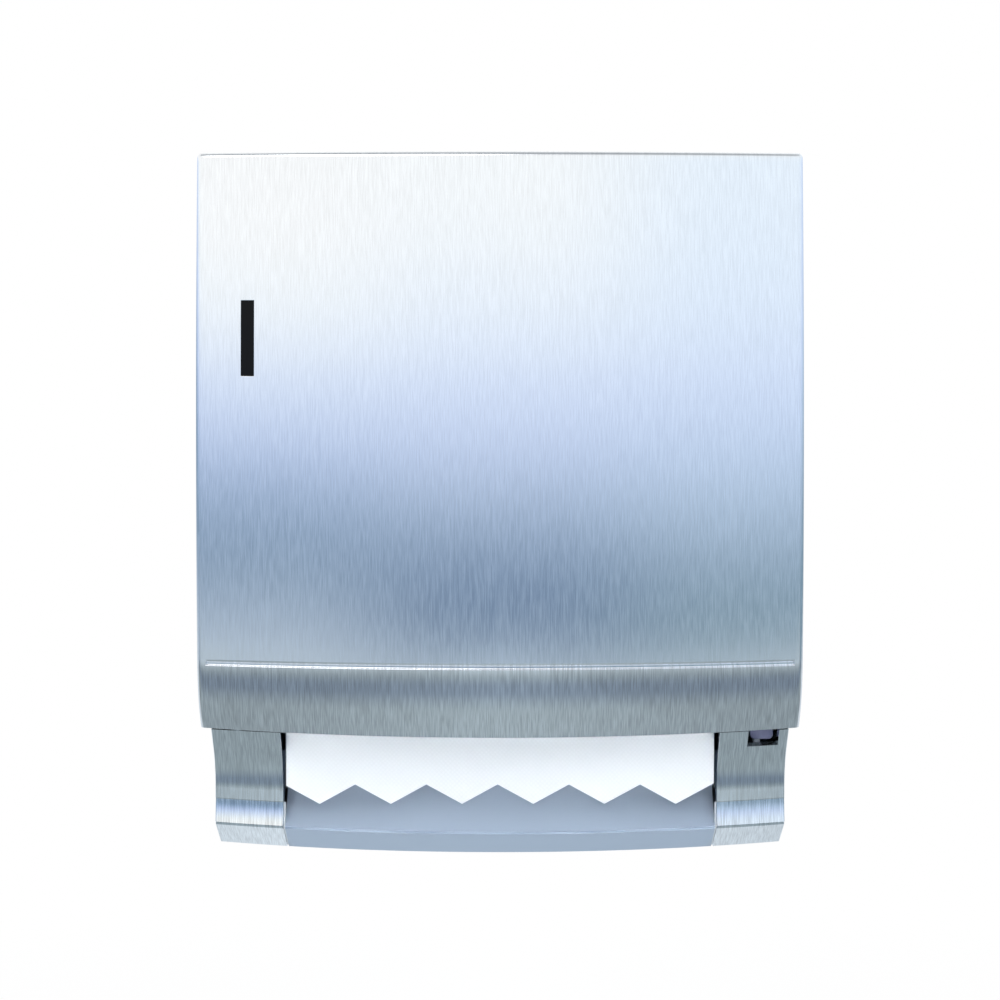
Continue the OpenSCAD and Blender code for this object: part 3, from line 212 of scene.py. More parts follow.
# %% [markdown]
# A key box hangs high, a little to the left. Two weak boxes with a narrow beam stand low in front, to reach
# the paper under the overhanging cover and nothing above it. They are hidden from glossy rays, so that the
# steel doesn't mirror them.

# %% Hang the lamps
MIDDLE_POINT, EXIT_POINT = Vector((0.0, -0.15, -0.05)), Vector((0.0, -0.17, -0.2))


def soft_box(name, place, aim, size, power, beam=180.0):
    data = bpy.data.lights.new(name, "AREA")
    data.shape = "RECTANGLE"
    data.size, data.size_y = size
    data.energy = power
    data.spread = math.radians(beam)
    lamp = bpy.data.objects.new(name, data)
    bpy.context.scene.collection.objects.link(lamp)
    lamp.location = place
    lamp.rotation_euler = (aim - Vector(place)).to_track_quat("-Z", "Y").to_euler()
    return lamp


soft_box("key_box", (-0.7, -1.5, 2.2), MIDDLE_POINT, (1.2, 1.2), 12.0)
for name, x, power in (("left_fill", -0.6, 0.09), ("right_fill", 0.6, 0.085)):
    fill = soft_box(name, (x, -1.7, -0.35), EXIT_POINT, (0.5, 0.12), power, 10.0)
    fill.visible_glossy = False

# %% [markdown]
# The floor lies well below the object. The camera sees it almost white, so that it melts into the
# backdrop, while the steel mirrors its paint, which is painted light and shade: pale behind the wall line,
# grey in front as painted shade of the set.

# %% Lay the floor
FLOOR_DROP = 0.45
FLOOR_SIZE = 8.0
bpy.ops.object.select_all(action="DESELECT")
bpy.ops.mesh.primitive_plane_add(size=FLOOR_SIZE, location=(0.0, 0.0, cad_low.z - FLOOR_DROP))
floor = bpy.context.active_object
floor.name = "floor"
print("floor at", round(floor.location.z, 3))

# %% [markdown]
# Its paint is a ramp along y with painted shade in front of the wall line, and painted light near the
# middle line. Camera rays see a white glow mixed over it, which grows to full away from the object, so that
# only a soft shadow is left of the floor.

# %% Paint the floor
floor_paint = bpy.data.materials.new("floor_paint")
floor_paint.use_nodes = True
tree = floor_paint.node_tree
tree.nodes.clear()
where = add_node(tree, "ShaderNodeTexCoord")
split = add_node(tree, "ShaderNodeSeparateXYZ")
along = add_node(tree, "ShaderNodeMapRange")
along.inputs["From Min"].default_value = -FLOOR_SIZE / 2
along.inputs["From Max"].default_value = FLOOR_SIZE / 2
paint = add_node(tree, "ShaderNodeValToRGB")


def floor_place(y):
    """Where a distance along y falls on the ramp over the floor's length."""
    return 0.5 + y / FLOOR_SIZE


# painted shade: the grey and the dark band in front of the wall line stand in for shade, for the steel to
# mirror
ramp_stops(paint, [
    (floor_place(-3.9), (0.74, 0.83, 0.88)),
    (floor_place(-2.9), (0.66, 0.73, 0.76)),
    (floor_place(-1.6), (0.34, 0.40, 0.43)),
    (floor_place(-1.2), (0.24, 0.295, 0.36)),
    (floor_place(-0.85), (0.24, 0.295, 0.36)),
    (floor_place(-0.5), (0.38, 0.44, 0.465)),
    (floor_place(-0.02), (0.36, 0.415, 0.44)),
    (floor_place(0.2), (0.83, 0.88, 0.92)),
])
matt = add_node(tree, "ShaderNodeBsdfDiffuse")
link(tree, where.outputs["Object"], split.inputs["Vector"])
link(tree, split.outputs["Y"], along.inputs["Value"])
link(tree, along.outputs["Result"], paint.inputs["Fac"])
# painted light: the paint is a quarter brighter on the middle line and a little darker far to the sides, for
# the steel to mirror as a highlight
aside = add_node(tree, "ShaderNodeMath", operation="ABSOLUTE")
painted_middle_light = add_node(tree, "ShaderNodeMapRange")
for key, value in (("From Min", 0.0), ("From Max", 0.3), ("To Min", 1.25), ("To Max", 0.95)):
    painted_middle_light.inputs[key].default_value = value
tone = add_node(tree, "ShaderNodeMix", data_type="RGBA", blend_type="MULTIPLY")
tone.inputs["Factor"].default_value = 1.0
link(tree, split.outputs["X"], aside.inputs[0])
link(tree, aside.outputs["Value"], painted_middle_light.inputs["Value"])
link(tree, paint.outputs["Color"], tone.inputs["A"])
link(tree, painted_middle_light.outputs["Result"], tone.inputs["B"])
link(tree, tone.outputs["Result"], matt.inputs["Color"])
glow = add_node(tree, "ShaderNodeEmission")
rays = add_node(tree, "ShaderNodeLightPath")
away = add_node(tree, "ShaderNodeVectorMath", operation="LENGTH")
fade = add_node(tree, "ShaderNodeMapRange")
for key, value in (("From Min", 0.5), ("From Max", 1.6), ("To Min", 0.94), ("To Max", 1.0)):
    fade.inputs[key].default_value = value
seen = add_node(tree, "ShaderNodeMath", operation="MULTIPLY")
blend = add_node(tree, "ShaderNodeMixShader")
output = add_node(tree, "ShaderNodeOutputMaterial")
link(tree, rays.outputs["Is Camera Ray"], seen.inputs[0])
link(tree, where.outputs["Object"], away.inputs[0])
link(tree, away.outputs["Value"], fade.inputs["Value"])
link(tree, fade.outputs["Result"], seen.inputs[1])
link(tree, seen.outputs["Value"], blend.inputs["Fac"])
link(tree, matt.outputs["BSDF"], blend.inputs[1])
link(tree, glow.outputs["Emission"], blend.inputs[2])
link(tree, blend.outputs["Shader"], output.inputs["Surface"])
floor.data.materials.append(floor_paint)
print("floor paint has", len(tree.nodes), "nodes")

# %% [markdown]
# ## Modelling by hand
# The sheet pieces all start the same way: one point is drawn out into a profile, the profile is spun
# about an upright axis behind the wall, the sides are trimmed with a straight cut, and the free edges
# are pulled back to the wall. The first helpers draw a point out into a chain of edges.

# %% Helpers to draw a profile


def start_point(name, place):
    """A new mesh of one point, left in edit mode."""
    if bpy.context.mode != "OBJECT":
        bpy.ops.object.mode_set(mode="OBJECT")
    bpy.ops.object.select_all(action="DESELECT")
    bpy.ops.mesh.primitive_plane_add(size=MM, location=place)
    piece = bpy.context.active_object
    piece.name = name
    piece.data.name = name
    bpy.ops.object.mode_set(mode="EDIT")
    bpy.ops.mesh.select_mode(type="VERT")
    bpy.ops.mesh.select_all(action="SELECT")
    bpy.ops.mesh.merge(type="CENTER")
    return piece


def draw_profile(name, points):
    """Draws the points out of each other, as a chain of edges."""
    piece = start_point(name, points[0])
    for before, after in zip(points, points[1:]):
        bpy.ops.mesh.extrude_vertices_move(
            TRANSFORM_OT_translate={"value": Vector(after) - Vector(before)})
    return piece


print("helpers: start_point, draw_profile")

# %% [markdown]
# Parts of a mesh are picked by where they lie, never by number, so that a changed size still finds them. The
# cuts take a very small threshold: with the usual tenth of a millimetre, a point close to the plane would
# count as cut and stay beside it, and the fold along the cut would tear there.

# %% Helpers to pick, cut and fold
CUT_NEAR = 1e-6


def pick(kind, rule):
    """Selects only the verts, edges or faces whose middle and element pass the rule; returns how many."""
    bpy.ops.mesh.select_mode(type=kind)
    bpy.ops.mesh.select_all(action="DESELECT")
    mesh = bmesh.from_edit_mesh(bpy.context.edit_object.data)
    at = bpy.context.edit_object.matrix_world
    found = 0
    for item in {"VERT": mesh.verts, "EDGE": mesh.edges, "FACE": mesh.faces}[kind]:
        corners = [at @ v.co for v in ([item] if kind == "VERT" else item.verts)]
        middle = sum(corners, Vector()) / len(corners)
        if rule(middle, corners, item):
            item.select_set(True)
            found += 1
    bmesh.update_edit_mesh(bpy.context.edit_object.data)
    return found


def trim(place, outward):
    """Cuts the whole mesh with a plane and clears what lies on its outer side."""
    bpy.ops.mesh.select_all(action="SELECT")
    bpy.ops.mesh.bisect(plane_co=place, plane_no=outward, clear_outer=True, threshold=CUT_NEAR)


def score(place, across):
    """Cuts the whole mesh with a plane and keeps both sides, which adds a line to work along."""
    bpy.ops.mesh.select_all(action="SELECT")
    bpy.ops.mesh.bisect(plane_co=place, plane_no=across, threshold=CUT_NEAR)


def pull_back(wall_y):
    """Pulls the selected edges back to an upright plane, as a folded flange."""
    bpy.ops.mesh.extrude_region_move()
    bpy.ops.transform.resize(value=(1.0, 0.0, 1.0), center_override=(0.0, wall_y, 0.0))


def face_outward():
    """Turns every face of the mesh outward."""
    bpy.ops.mesh.select_all(action="SELECT")
    bpy.ops.mesh.normals_make_consistent(inside=False)


print("helpers: pick, trim, score, pull_back, face_outward")

# %% [markdown]
# A drawn sheet has no thickness yet. The last step of most pieces gives it a wall on its inner side and a
# small round on its edges, which is what catches the light on real pressed metal, and evens the normals.

# %% Helper to finish a piece
SMOOTH_ANGLE, BEVEL_ANGLE = math.radians(30.0), math.radians(40.0)


def finish_piece(piece, sheet=0.0, edge=0.0):
    """Leaves edit mode, gives the sheet its thickness and its edges a small round, and applies the place.

    Each face also notes whether it looks sideways, which the brushed finish needs.
    """
    bpy.ops.object.mode_set(mode="OBJECT")
    bpy.ops.object.transform_apply(location=True, rotation=True, scale=True)
    if sheet:
        wall = piece.modifiers.new("wall", "SOLIDIFY")
        wall.thickness = sheet
        wall.offset = -1.0
        wall.use_even_offset = True
        bpy.ops.object.modifier_apply(modifier=wall.name)
    if edge:
        round_edge = piece.modifiers.new("round_edge", "BEVEL")
        round_edge.width = edge
        round_edge.segments = 2
        round_edge.limit_method = "ANGLE"
        round_edge.angle_limit = BEVEL_ANGLE
        bpy.ops.object.modifier_apply(modifier=round_edge.name)
    bpy.ops.object.shade_smooth_by_angle(angle=SMOOTH_ANGLE)
    even = piece.modifiers.new("even", "WEIGHTED_NORMAL")
    even.keep_sharp = True
    bpy.ops.object.modifier_apply(modifier=even.name)
    flag = piece.data.attributes.new("sideways", "FLOAT", "FACE")
    for face in piece.data.polygons:
        flag.data[face.index].value = 1.0 if abs(face.normal.x) > 0.8 else 0.0
    print(piece.name, len(piece.data.polygons), "faces")
    return piece


print("helper: finish_piece")

# %% [markdown]
# The cover, the legs and the scoop are all bowed about an upright axis far behind the wall. Spinning a
# profile about that axis gives the bow exactly, where bending a flat sheet would only come near it.

# %% Helpers to spin a bowed face


def turned(axis_y, radius, angle, height):
    """A point at that radius and height, turned by angle about an upright axis behind the wall."""
    return Vector((radius * math.sin(angle), axis_y - radius * math.cos(angle), height))


def arc(centre, radius, first, last, count):
    """Points on an arc in the plane of distance and height, from first to last degrees."""
    steps = [math.radians(first + (last - first) * i / count) for i in range(count + 1)]
    return [(centre[0] + radius * math.cos(a), centre[1] + radius * math.sin(a)) for a in steps]


def bow_axis(half_width, bow, face):
    """How far behind the wall the upright axis of a bowed face lies."""
    return (half_width ** 2 + bow ** 2) / (2.0 * bow) - face


def spin_profile(name, axis_y, profile, half_width, steps):
    """Spins a profile of (distance, height) about an upright axis, wide enough to be trimmed."""
    nearest = min(d for d, z in profile) + axis_y
    fan = 2.0 * math.asin(half_width / nearest) * 1.04
    piece = draw_profile(name, [turned(axis_y, d + axis_y, fan / 2.0, z) for d, z in profile])
    bpy.ops.mesh.select_all(action="SELECT")
    bpy.ops.mesh.spin(steps=steps, angle=fan, center=(0.0, axis_y, 0.0), axis=(0.0, 0.0, 1.0))
    bpy.ops.mesh.select_all(action="SELECT")
    bpy.ops.mesh.remove_doubles(threshold=0.00001)
    return piece


print("helpers: turned, arc, bow_axis, spin_profile")

# %% [markdown]
# ## The front cover
# The cover is one pressed sheet: a tall panel that leans back above a seam, a band that rolls under below
# it, and side and top walls that run back to the wall. It could be sculpted from a box, but the press
# shaped it about one upright axis, so a spun profile gives the true bow and keeps every row level.
# Heights below are millimetres above the foot of the legs, distances are millimetres from the wall.

# %% Draw and spin the cover's front
cover_low, cover_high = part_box("front_cover")
HALF_W = cover_high.x
SEAM_D, SEAM_H, LIP_H = 215.0 * MM, 103.7, 68.5
PANEL_LEAN, LIP_BACK = 19.8 * MM, 13.8 * MM
COVER_BOW, COVER_STEPS = 16.0 * MM, 56
GROOVE_H, GROOVE_T, GROOVE_SHORT = 3.0, 0.95 * MM, 4.5 * MM
SLOT_X, SLOT_H = (-127.25 * MM, -120.75 * MM), (245.0, 282.0)
SHEET = 1.2 * MM


def foot_up(height):
    """The z of a height in millimetres above the foot of the legs."""
    return cad_low.z + height * MM


def arc_radius(rise, set_back):
    """Radius of an arc that starts upright and is set back by so much after that rise."""
    return (rise ** 2 + set_back ** 2) / (2.0 * set_back)


top_z, seam_z, lip_z = cover_high.z, foot_up(SEAM_H), foot_up(LIP_H)
panel_r = arc_radius(top_z - seam_z, PANEL_LEAN)
band_r = arc_radius(seam_z - lip_z, LIP_BACK)


def cover_point(z):
    """The cover's front on the middle line at height z, as distance from the wall and height."""
    radius = panel_r if z > seam_z else band_r
    return (SEAM_D - radius + math.sqrt(radius ** 2 - (z - seam_z) ** 2), z)


panel_rows = [354.6, 350, 340, 325, 308, 295, SLOT_H[1], 272, 263.5, 254, SLOT_H[0], 230, 212, 194, 176,
              158, 142, 128, 117, 110, SEAM_H + GROOVE_H / 2]
band_rows = [SEAM_H - GROOVE_H / 2, 99, 95, 91, 87, 83, 79, 75.5, 72, LIP_H]
cover_axis = bow_axis(HALF_W, COVER_BOW, SEAM_D)
cover = spin_profile("cover_shell", cover_axis, [cover_point(foot_up(h)) for h in panel_rows + band_rows],
                     HALF_W, COVER_STEPS)
trim((HALF_W, 0.0, 0.0), (1.0, 0.0, 0.0))
trim((-HALF_W, 0.0, 0.0), (-1.0, 0.0, 0.0))
print("cover front:", len(bmesh.from_edit_mesh(cover.data).verts), "points when trimmed")

# %% [markdown]
# The trim leaves thin slivers beside the straight sides, which would spoil a bevel. Dissolving the last
# columns gives wide clean faces there. The lower edge then sags a little in the middle: moving its middle
# point with a round falloff, while the rest is hidden, gives an even sweep.

# %% Clean the sides and sag the lower edge
NEAR = 0.02 * MM
SLIVERS, LIP_SAG = 11.0 * MM, 2.4 * MM


def clear_columns(inner, outer):
    """Dissolves the upright columns beyond a distance from the middle, but not the trimmed edge."""
    found = pick("EDGE", lambda m, c, e: all(inner < abs(p.x) for p in c)
                 and not all(abs(abs(p.x) - outer) < NEAR for p in c)
                 and abs(c[0].z - c[1].z) > abs(c[0].x - c[1].x))
    if found:
        bpy.ops.mesh.dissolve_edges(use_verts=True)


clear_columns(HALF_W - SLIVERS, HALF_W)
for x in (HALF_W - GROOVE_SHORT, GROOVE_SHORT - HALF_W, *SLOT_X):
    score((x, 0.0, 0.0), (1.0, 0.0, 0.0))
pick("VERT", lambda m, c, v: m.z > lip_z + MM)
bpy.ops.mesh.hide()
middle = pick("VERT", lambda m, c, v: not v.hide and abs(m.x) < 2.0 * MM)
bpy.ops.transform.translate(value=(0.0, 0.0, -LIP_SAG), use_proportional_edit=True,
                            proportional_edit_falloff="INVERSE_SQUARE", proportional_size=HALF_W)
bpy.ops.mesh.reveal(select=False)
print("lower edge moved from", middle, "middle points")

# %% [markdown]
# Now the slot for the level window is opened, the seam groove is pressed in, and the free edges at the
# sides and the top are pulled back to the wall. A bevel rounds the folds before the sheet gets its
# thickness.

# %% Cut, press and fold the cover
GROOVE_FLOOR, GROOVE_DROP = 0.37, 0.7 * MM
FOLD_R, EDGE_R = 2.4 * MM, 0.25 * MM
FRONT_Y = -0.1


def on_side(corners):
    return all(abs(abs(p.x) - HALF_W) < NEAR for p in corners)


def on_top(corners):
    return all(p.z > top_z - NEAR for p in corners)


def in_front(corners):
    return all(p.y < FRONT_Y for p in corners)


pick("FACE", lambda m, c, f: SLOT_X[0] < m.x < SLOT_X[1]
     and foot_up(SLOT_H[0]) < m.z < foot_up(SLOT_H[1]))
bpy.ops.mesh.delete(type="FACE")
groove = pick("FACE", lambda m, c, f: abs(m.z - seam_z) < GROOVE_H * MM / 2
              and abs(m.x) < HALF_W - GROOVE_SHORT)
bpy.ops.mesh.extrude_region_move(TRANSFORM_OT_translate={"value": (0.0, GROOVE_T, 0.0)})
bpy.ops.transform.resize(value=(1.0, 1.0, GROOVE_FLOOR),
                         center_override=(0.0, 0.0, seam_z - GROOVE_DROP))
pick("EDGE", lambda m, c, e: on_side(c) or on_top(c))
pull_back(cover_high.y)
face_outward()
folds = pick("EDGE", lambda m, c, e: on_side(c) and (in_front(c) or on_top(c)) or on_top(c) and in_front(c))
bpy.ops.mesh.bevel(offset=FOLD_R, segments=4, affect="EDGES")
cover = finish_piece(cover, sheet=SHEET, edge=EDGE_R)
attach(cover, "cover")
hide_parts("front_cover")
print("groove faces", groove, "folds", folds)

# %% [markdown]
# ## The legs
# Each leg is a coved pillar: the face falls back from under the cover in a cove, meets a thin step line,
# flares out to a crease and turns under to the foot. Its profile is worked out from arcs, since the bands of
# light and dark on the steel come from the slopes. Angles are degrees off the upright.

# %% Work out the legs' profile
LEG_IN, LEG_OUT = 110.2 * MM, 146.0 * MM
LEG_FACE, LEG_BOW, LEG_TOP, LEG_STEPS = 182.0 * MM, 25.0 * MM, 66.0, 60
COVE_H, COVE_R, COVE_A = 33.0, 32.0 * MM, (-1.5, 38.0)
STEP_H, STEP_RISE, STEP_IN = 27.8, 0.55, 0.35 * MM
FLARE_A = (3.7, 15.5)
CREASE_H, CREASE_D, FOOT_D = 14.5, 184.0 * MM, 161.0 * MM
GROOVE = 1.0

leg_axis = bow_axis(LEG_OUT, LEG_BOW, LEG_FACE)
flare_first, flare_last = (math.radians(a) for a in FLARE_A)
flare_z, flare_low = foot_up(STEP_H - STEP_RISE), foot_up(CREASE_H + GROOVE)
flare_r = (flare_z - flare_low) / (math.sin(flare_last) - math.sin(flare_first))
flare_mid = (CREASE_D + flare_r * math.cos(flare_last), flare_low + flare_r * math.sin(flare_last))
flare = arc(flare_mid, flare_r, 180.0 + FLARE_A[0], 180.0 + FLARE_A[1], 8)
cove_low, cove_high = (math.radians(a) for a in COVE_A)
step = (flare[0][0] + STEP_IN, foot_up(STEP_H))
face_d = step[0] + (COVE_H - STEP_H) * MM * math.tan(cove_low)
cove_mid = (face_d + COVE_R * math.cos(cove_low), foot_up(COVE_H) - COVE_R * math.sin(cove_low))
cove = arc(cove_mid, COVE_R, 180.0 - COVE_A[1], 180.0 - COVE_A[0], 16)
slope = (cove[0][0] + (foot_up(LEG_TOP) - cove[0][1]) * math.tan(cove_high), foot_up(LEG_TOP))
crease = [(CREASE_D, foot_up(CREASE_H + GROOVE)),
          (CREASE_D - GROOVE * MM, foot_up(CREASE_H + GROOVE / 2)),
          (CREASE_D - GROOVE * MM, foot_up(CREASE_H - GROOVE / 2))]
leg_profile = [slope, *cove, step, *flare, *crease[1:], (FOOT_D, foot_up(0.0))]
print("leg profile:", len(leg_profile), "points")

# %% [markdown]
# Both legs come off the same bowed form, so one function spins the profile, trims it to one side and folds
# the walls back, as a press brake would. The right leg also has the lock's notch.

# %% Shape the legs
LEG_WALL, LEG_REAR, LEG_FOLD = 2.5 * MM, -2.0 * MM, 0.5 * MM
LEG_SLIVERS, LEG_FRONT_Y = 5.0 * MM, -0.03
NOTCH_X, NOTCH_H = (125.0 * MM, 141.0 * MM), 57.0


def shape_leg(name, side, notch):
    leg = spin_profile(name, leg_axis, leg_profile, LEG_OUT, LEG_STEPS)
    trim((side * LEG_OUT, 0.0, 0.0), (side, 0.0, 0.0))
    trim((side * LEG_IN, 0.0, 0.0), (-side, 0.0, 0.0))
    clear_columns(LEG_OUT - LEG_SLIVERS, LEG_OUT)
    if notch:
        for x in NOTCH_X:
            score((x, 0.0, 0.0), (1.0, 0.0, 0.0))
        score((0.0, 0.0, foot_up(NOTCH_H)), (0.0, 0.0, 1.0))
        pick("FACE", lambda m, c, f: NOTCH_X[0] < m.x < NOTCH_X[1] and m.z > foot_up(NOTCH_H))
        bpy.ops.mesh.delete(type="FACE")
    edges = (LEG_IN, LEG_OUT)
    pick("EDGE", lambda m, c, e: any(all(abs(abs(p.x) - x) < NEAR for p in c) for x in edges)
         or all(p.z < cad_low.z + NEAR for p in c))
    pull_back(LEG_REAR)
    pick("EDGE", lambda m, c, e: all(p.y > LEG_REAR - NEAR for p in c))
    bpy.ops.mesh.edge_face_add()
    bpy.ops.mesh.select_all(action="SELECT")
    bpy.ops.mesh.remove_doubles(threshold=0.00001)
    face_outward()
    pick("EDGE", lambda m, c, e: all(p.y < LEG_FRONT_Y for p in c) and any(
        all(abs(abs(p.x) - x) < NEAR for p in c) for x in edges))
    bpy.ops.mesh.bevel(offset=LEG_FOLD, segments=3, affect="EDGES")
    return finish_piece(leg, sheet=LEG_WALL, edge=EDGE_R)


for name, side, notch in (("leg_left", -1, False), ("leg_right", 1, True)):
    leg = shape_leg(name, side, notch)
    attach(leg, "base")
    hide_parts("left_leg" if side < 0 else "right_leg")

# %% [markdown]
# ## The exit scoop
# Between the legs a moulded scoop carries the crease on, slopes back under the paper and rises behind it.
# It is the same kind of spun strip, with a thicker wall.

# %% Shape the scoop
SCOOP_X = 109.3 * MM
RAMP_ROWS = [(158.0, 50.0), (159.6, 44.0), (161.6, 38.0), (164.2, 33.0), (167.4, 28.8), (171.2, 25.2),
             (175.5, 21.9), (179.8, 18.7)]
SCOOP_WALL, SCOOP_EDGE = 2.5 * MM, 0.4 * MM
PAN_FRONT = 151.0 * MM
scoop_profile = [*((d * MM, foot_up(h)) for d, h in RAMP_ROWS), *crease,
                 (FOOT_D, foot_up(0.0)), (PAN_FRONT, foot_up(0.0))]
scoop = spin_profile("scoop", leg_axis, scoop_profile, LEG_OUT, LEG_STEPS)
trim((SCOOP_X, 0.0, 0.0), (1.0, 0.0, 0.0))
trim((-SCOOP_X, 0.0, 0.0), (-1.0, 0.0, 0.0))
face_outward()
scoop = finish_piece(scoop, sheet=SCOOP_WALL, edge=SCOOP_EDGE)
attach(scoop, "base")
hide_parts("exit_scoop")

# %% [markdown]
# In each gap beside the scoop a thin bright line shows. It is a painted highlight: one more narrow strip
# of the same spun form in white plastic, set a little behind the crease.

# %% Shape the painted highlights beside the scoop
HIGHLIGHT_SET_BACK, HIGHLIGHT_WALL, HIGHLIGHT_PLAY = 0.9 * MM, 1.2 * MM, 0.08 * MM
highlight_profile = [(d - HIGHLIGHT_SET_BACK, z) for d, z in (flare[0], flare[4], crease[0], crease[2])]
highlight_profile.append((FOOT_D, foot_up(0.8)))
painted_highlights = []
# painted highlight: each strip is white plastic only so that the gap shows a bright line
for name, side in (("painted_highlight_left", -1), ("painted_highlight_right", 1)):
    strip = spin_profile(name, leg_axis, highlight_profile, LEG_OUT, LEG_STEPS)
    trim((side * (LEG_IN - HIGHLIGHT_PLAY), 0.0, 0.0), (side, 0.0, 0.0))
    trim((side * (SCOOP_X + HIGHLIGHT_PLAY), 0.0, 0.0), (-side, 0.0, 0.0))
    face_outward()
    painted_highlights.append(finish_piece(strip, sheet=HIGHLIGHT_WALL))
    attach(strip, "base")

# %% [markdown]
# ## Paper
# The hanging end is a thin sheet with a torn zigzag. It starts as the zigzag line itself, drawn point by
# point, which is then pulled up to the blade and divided into smaller faces. A cut through a flat sheet
# would do as well, but the line shows the tear's tips and valleys in plain numbers.

# %% Make the paper's torn end
PAPER_D, PAPER_HALF, PAPER_T = 170.7 * MM, 108.5 * MM, 0.3 * MM
TIP_H, TOOTH_H, TEETH, TOOTH_SHIFT = 27.0, 10.0, 6, -1.2 * MM
TAIL_TOP = 72.0
tooth_pitch = 2.0 * PAPER_HALF / TEETH


def zigzag_height(x):
    """Height of the torn edge: lowest at each tooth's tip, highest half a pitch away."""
    from_tip = abs((x - TOOTH_SHIFT) / tooth_pitch + 0.5 * (TEETH - 1))
    return foot_up(TIP_H + 2.0 * TOOTH_H * abs(from_tip - min(round(from_tip), TEETH - 1)))


corner_x = [TOOTH_SHIFT + (0.5 * i - 0.5 * (TEETH - 1)) * tooth_pitch for i in range(2 * TEETH - 1)]
torn = [Vector((x, -PAPER_D, zigzag_height(x))) for x in (-PAPER_HALF, *corner_x, PAPER_HALF)]
tail = draw_profile("paper_end", torn)
bpy.ops.mesh.select_all(action="SELECT")
bpy.ops.mesh.extrude_region_move()
bpy.ops.transform.resize(value=(1.0, 1.0, 0.0), center_override=(0.0, 0.0, foot_up(TAIL_TOP)))
bpy.ops.mesh.select_all(action="SELECT")
bpy.ops.mesh.subdivide(number_cuts=5)
face_outward()
tail = finish_piece(tail, sheet=PAPER_T)
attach(tail, "base")
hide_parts("paper_tail")

# %% [markdown]
# Above the blade the paper runs straight up through the rollers and then leans towards the roll. One side
# line with that bend is drawn and pulled across to the other side.

# %% Make the web
web_low, web_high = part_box("paper_web")
BEND_H = 103.0
web = draw_profile("paper_strip", [Vector((-PAPER_HALF, -PAPER_D, web_low.z)),
                                   Vector((-PAPER_HALF, -PAPER_D, foot_up(BEND_H))),
                                   Vector((-PAPER_HALF, web_low.y + PAPER_T, web_high.z))])
bpy.ops.mesh.select_all(action="SELECT")
bpy.ops.mesh.extrude_region_move(TRANSFORM_OT_translate={"value": (2.0 * PAPER_HALF, 0.0, 0.0)})
face_outward()
web = finish_piece(web, sheet=PAPER_T)
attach(web, "base")
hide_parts("paper_web")

# %% [markdown]
# The roll is a ring around its card core. A cylinder's end faces are inset to the core's size and joined
# through the middle, and its outer corners get the soft round of many paper edges.

# %% Make the roll
roll_low, roll_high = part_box("paper_roll")
core_low, core_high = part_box("roll_core")
ROLL_ROUND = 1.2 * MM
roll_mid = (roll_low + roll_high) / 2.0
roll_r = (roll_high.z - roll_low.z) / 2.0
bpy.ops.object.select_all(action="DESELECT")
bpy.ops.mesh.primitive_cylinder_add(vertices=128, radius=roll_r, depth=roll_high.x - roll_low.x,
                                    location=roll_mid, rotation=(0.0, math.pi / 2.0, 0.0))
roll = bpy.context.active_object
roll.name = roll.data.name = "towel_roll"
bpy.ops.object.transform_apply(location=False, rotation=True, scale=False)
bpy.ops.object.mode_set(mode="EDIT")
pick("FACE", lambda m, c, f: len(f.verts) > 4)
bpy.ops.mesh.inset(thickness=roll_r - (core_high.z - core_low.z) / 2.0)
bpy.ops.mesh.bridge_edge_loops()
pick("EDGE", lambda m, c, e: all(abs((p - roll_mid).yz.length - roll_r) < NEAR for p in c)
     and abs(c[0].x - c[1].x) < NEAR)
bpy.ops.mesh.bevel(offset=ROLL_ROUND, segments=3, affect="EDGES")
roll = finish_piece(roll)
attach(roll, "roll")
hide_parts("paper_roll")

# %% [markdown]
# ## The lock bolt
# The grey tab in the right leg's notch is the end of the sliding bolt. A cube with its lower corners
# rounded first and all its edges softened after that makes the moulded tab.

# %% Model the lock bolt
bolt_low, bolt_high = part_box("lock_bolt")
BOLT_ROUND, BOLT_EDGE = 2.6 * MM, 0.5 * MM
bolt_mid = (bolt_low + bolt_high) / 2.0
bpy.ops.object.select_all(action="DESELECT")
bpy.ops.mesh.primitive_cube_add(size=1.0, location=bolt_mid)
bolt = bpy.context.active_object
bolt.name = bolt.data.name = "bolt_tab"
bpy.ops.object.mode_set(mode="EDIT")
bpy.ops.transform.resize(value=tuple(bolt_high - bolt_low))
pick("EDGE", lambda m, c, e: m.z < bolt_low.z + NEAR
     and abs(abs(m.x - bolt_mid.x) - (bolt_high.x - bolt_mid.x)) < NEAR)
bpy.ops.mesh.bevel(offset=BOLT_ROUND, segments=6, affect="EDGES")
bolt = finish_piece(bolt, edge=BOLT_EDGE)
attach(bolt, "bolt")
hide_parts("lock_bolt")

# %% [markdown]
# The bolt slides in a white guide. From the front only its small foot shows under the tab, so a block is
# kept behind the tab and the foot is pulled out of its lower face.

# %% Model the bolt's guide
GUIDE_X, FOOT_X, FOOT_LOW = (129.0 * MM, 137.5 * MM), 132.2 * MM, foot_up(57.4)
GUIDE_PLAY, GUIDE_EDGE = 0.2 * MM, 0.3 * MM
guide_low, guide_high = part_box("lock_guide")
guide_low.x, guide_high.x = GUIDE_X
guide_low.y, guide_low.z = bolt_high.y + GUIDE_PLAY, bolt_low.z - GUIDE_PLAY
guide_mid = (guide_low + guide_high) / 2.0
bpy.ops.object.select_all(action="DESELECT")
bpy.ops.mesh.primitive_cube_add(size=1.0, location=guide_mid)
guide = bpy.context.active_object
guide.name = guide.data.name = "bolt_guide"
bpy.ops.object.mode_set(mode="EDIT")
bpy.ops.transform.resize(value=tuple(guide_high - guide_low))
score((FOOT_X, 0.0, 0.0), (1.0, 0.0, 0.0))
pick("FACE", lambda m, c, f: m.z < guide_low.z + NEAR and m.x < FOOT_X)
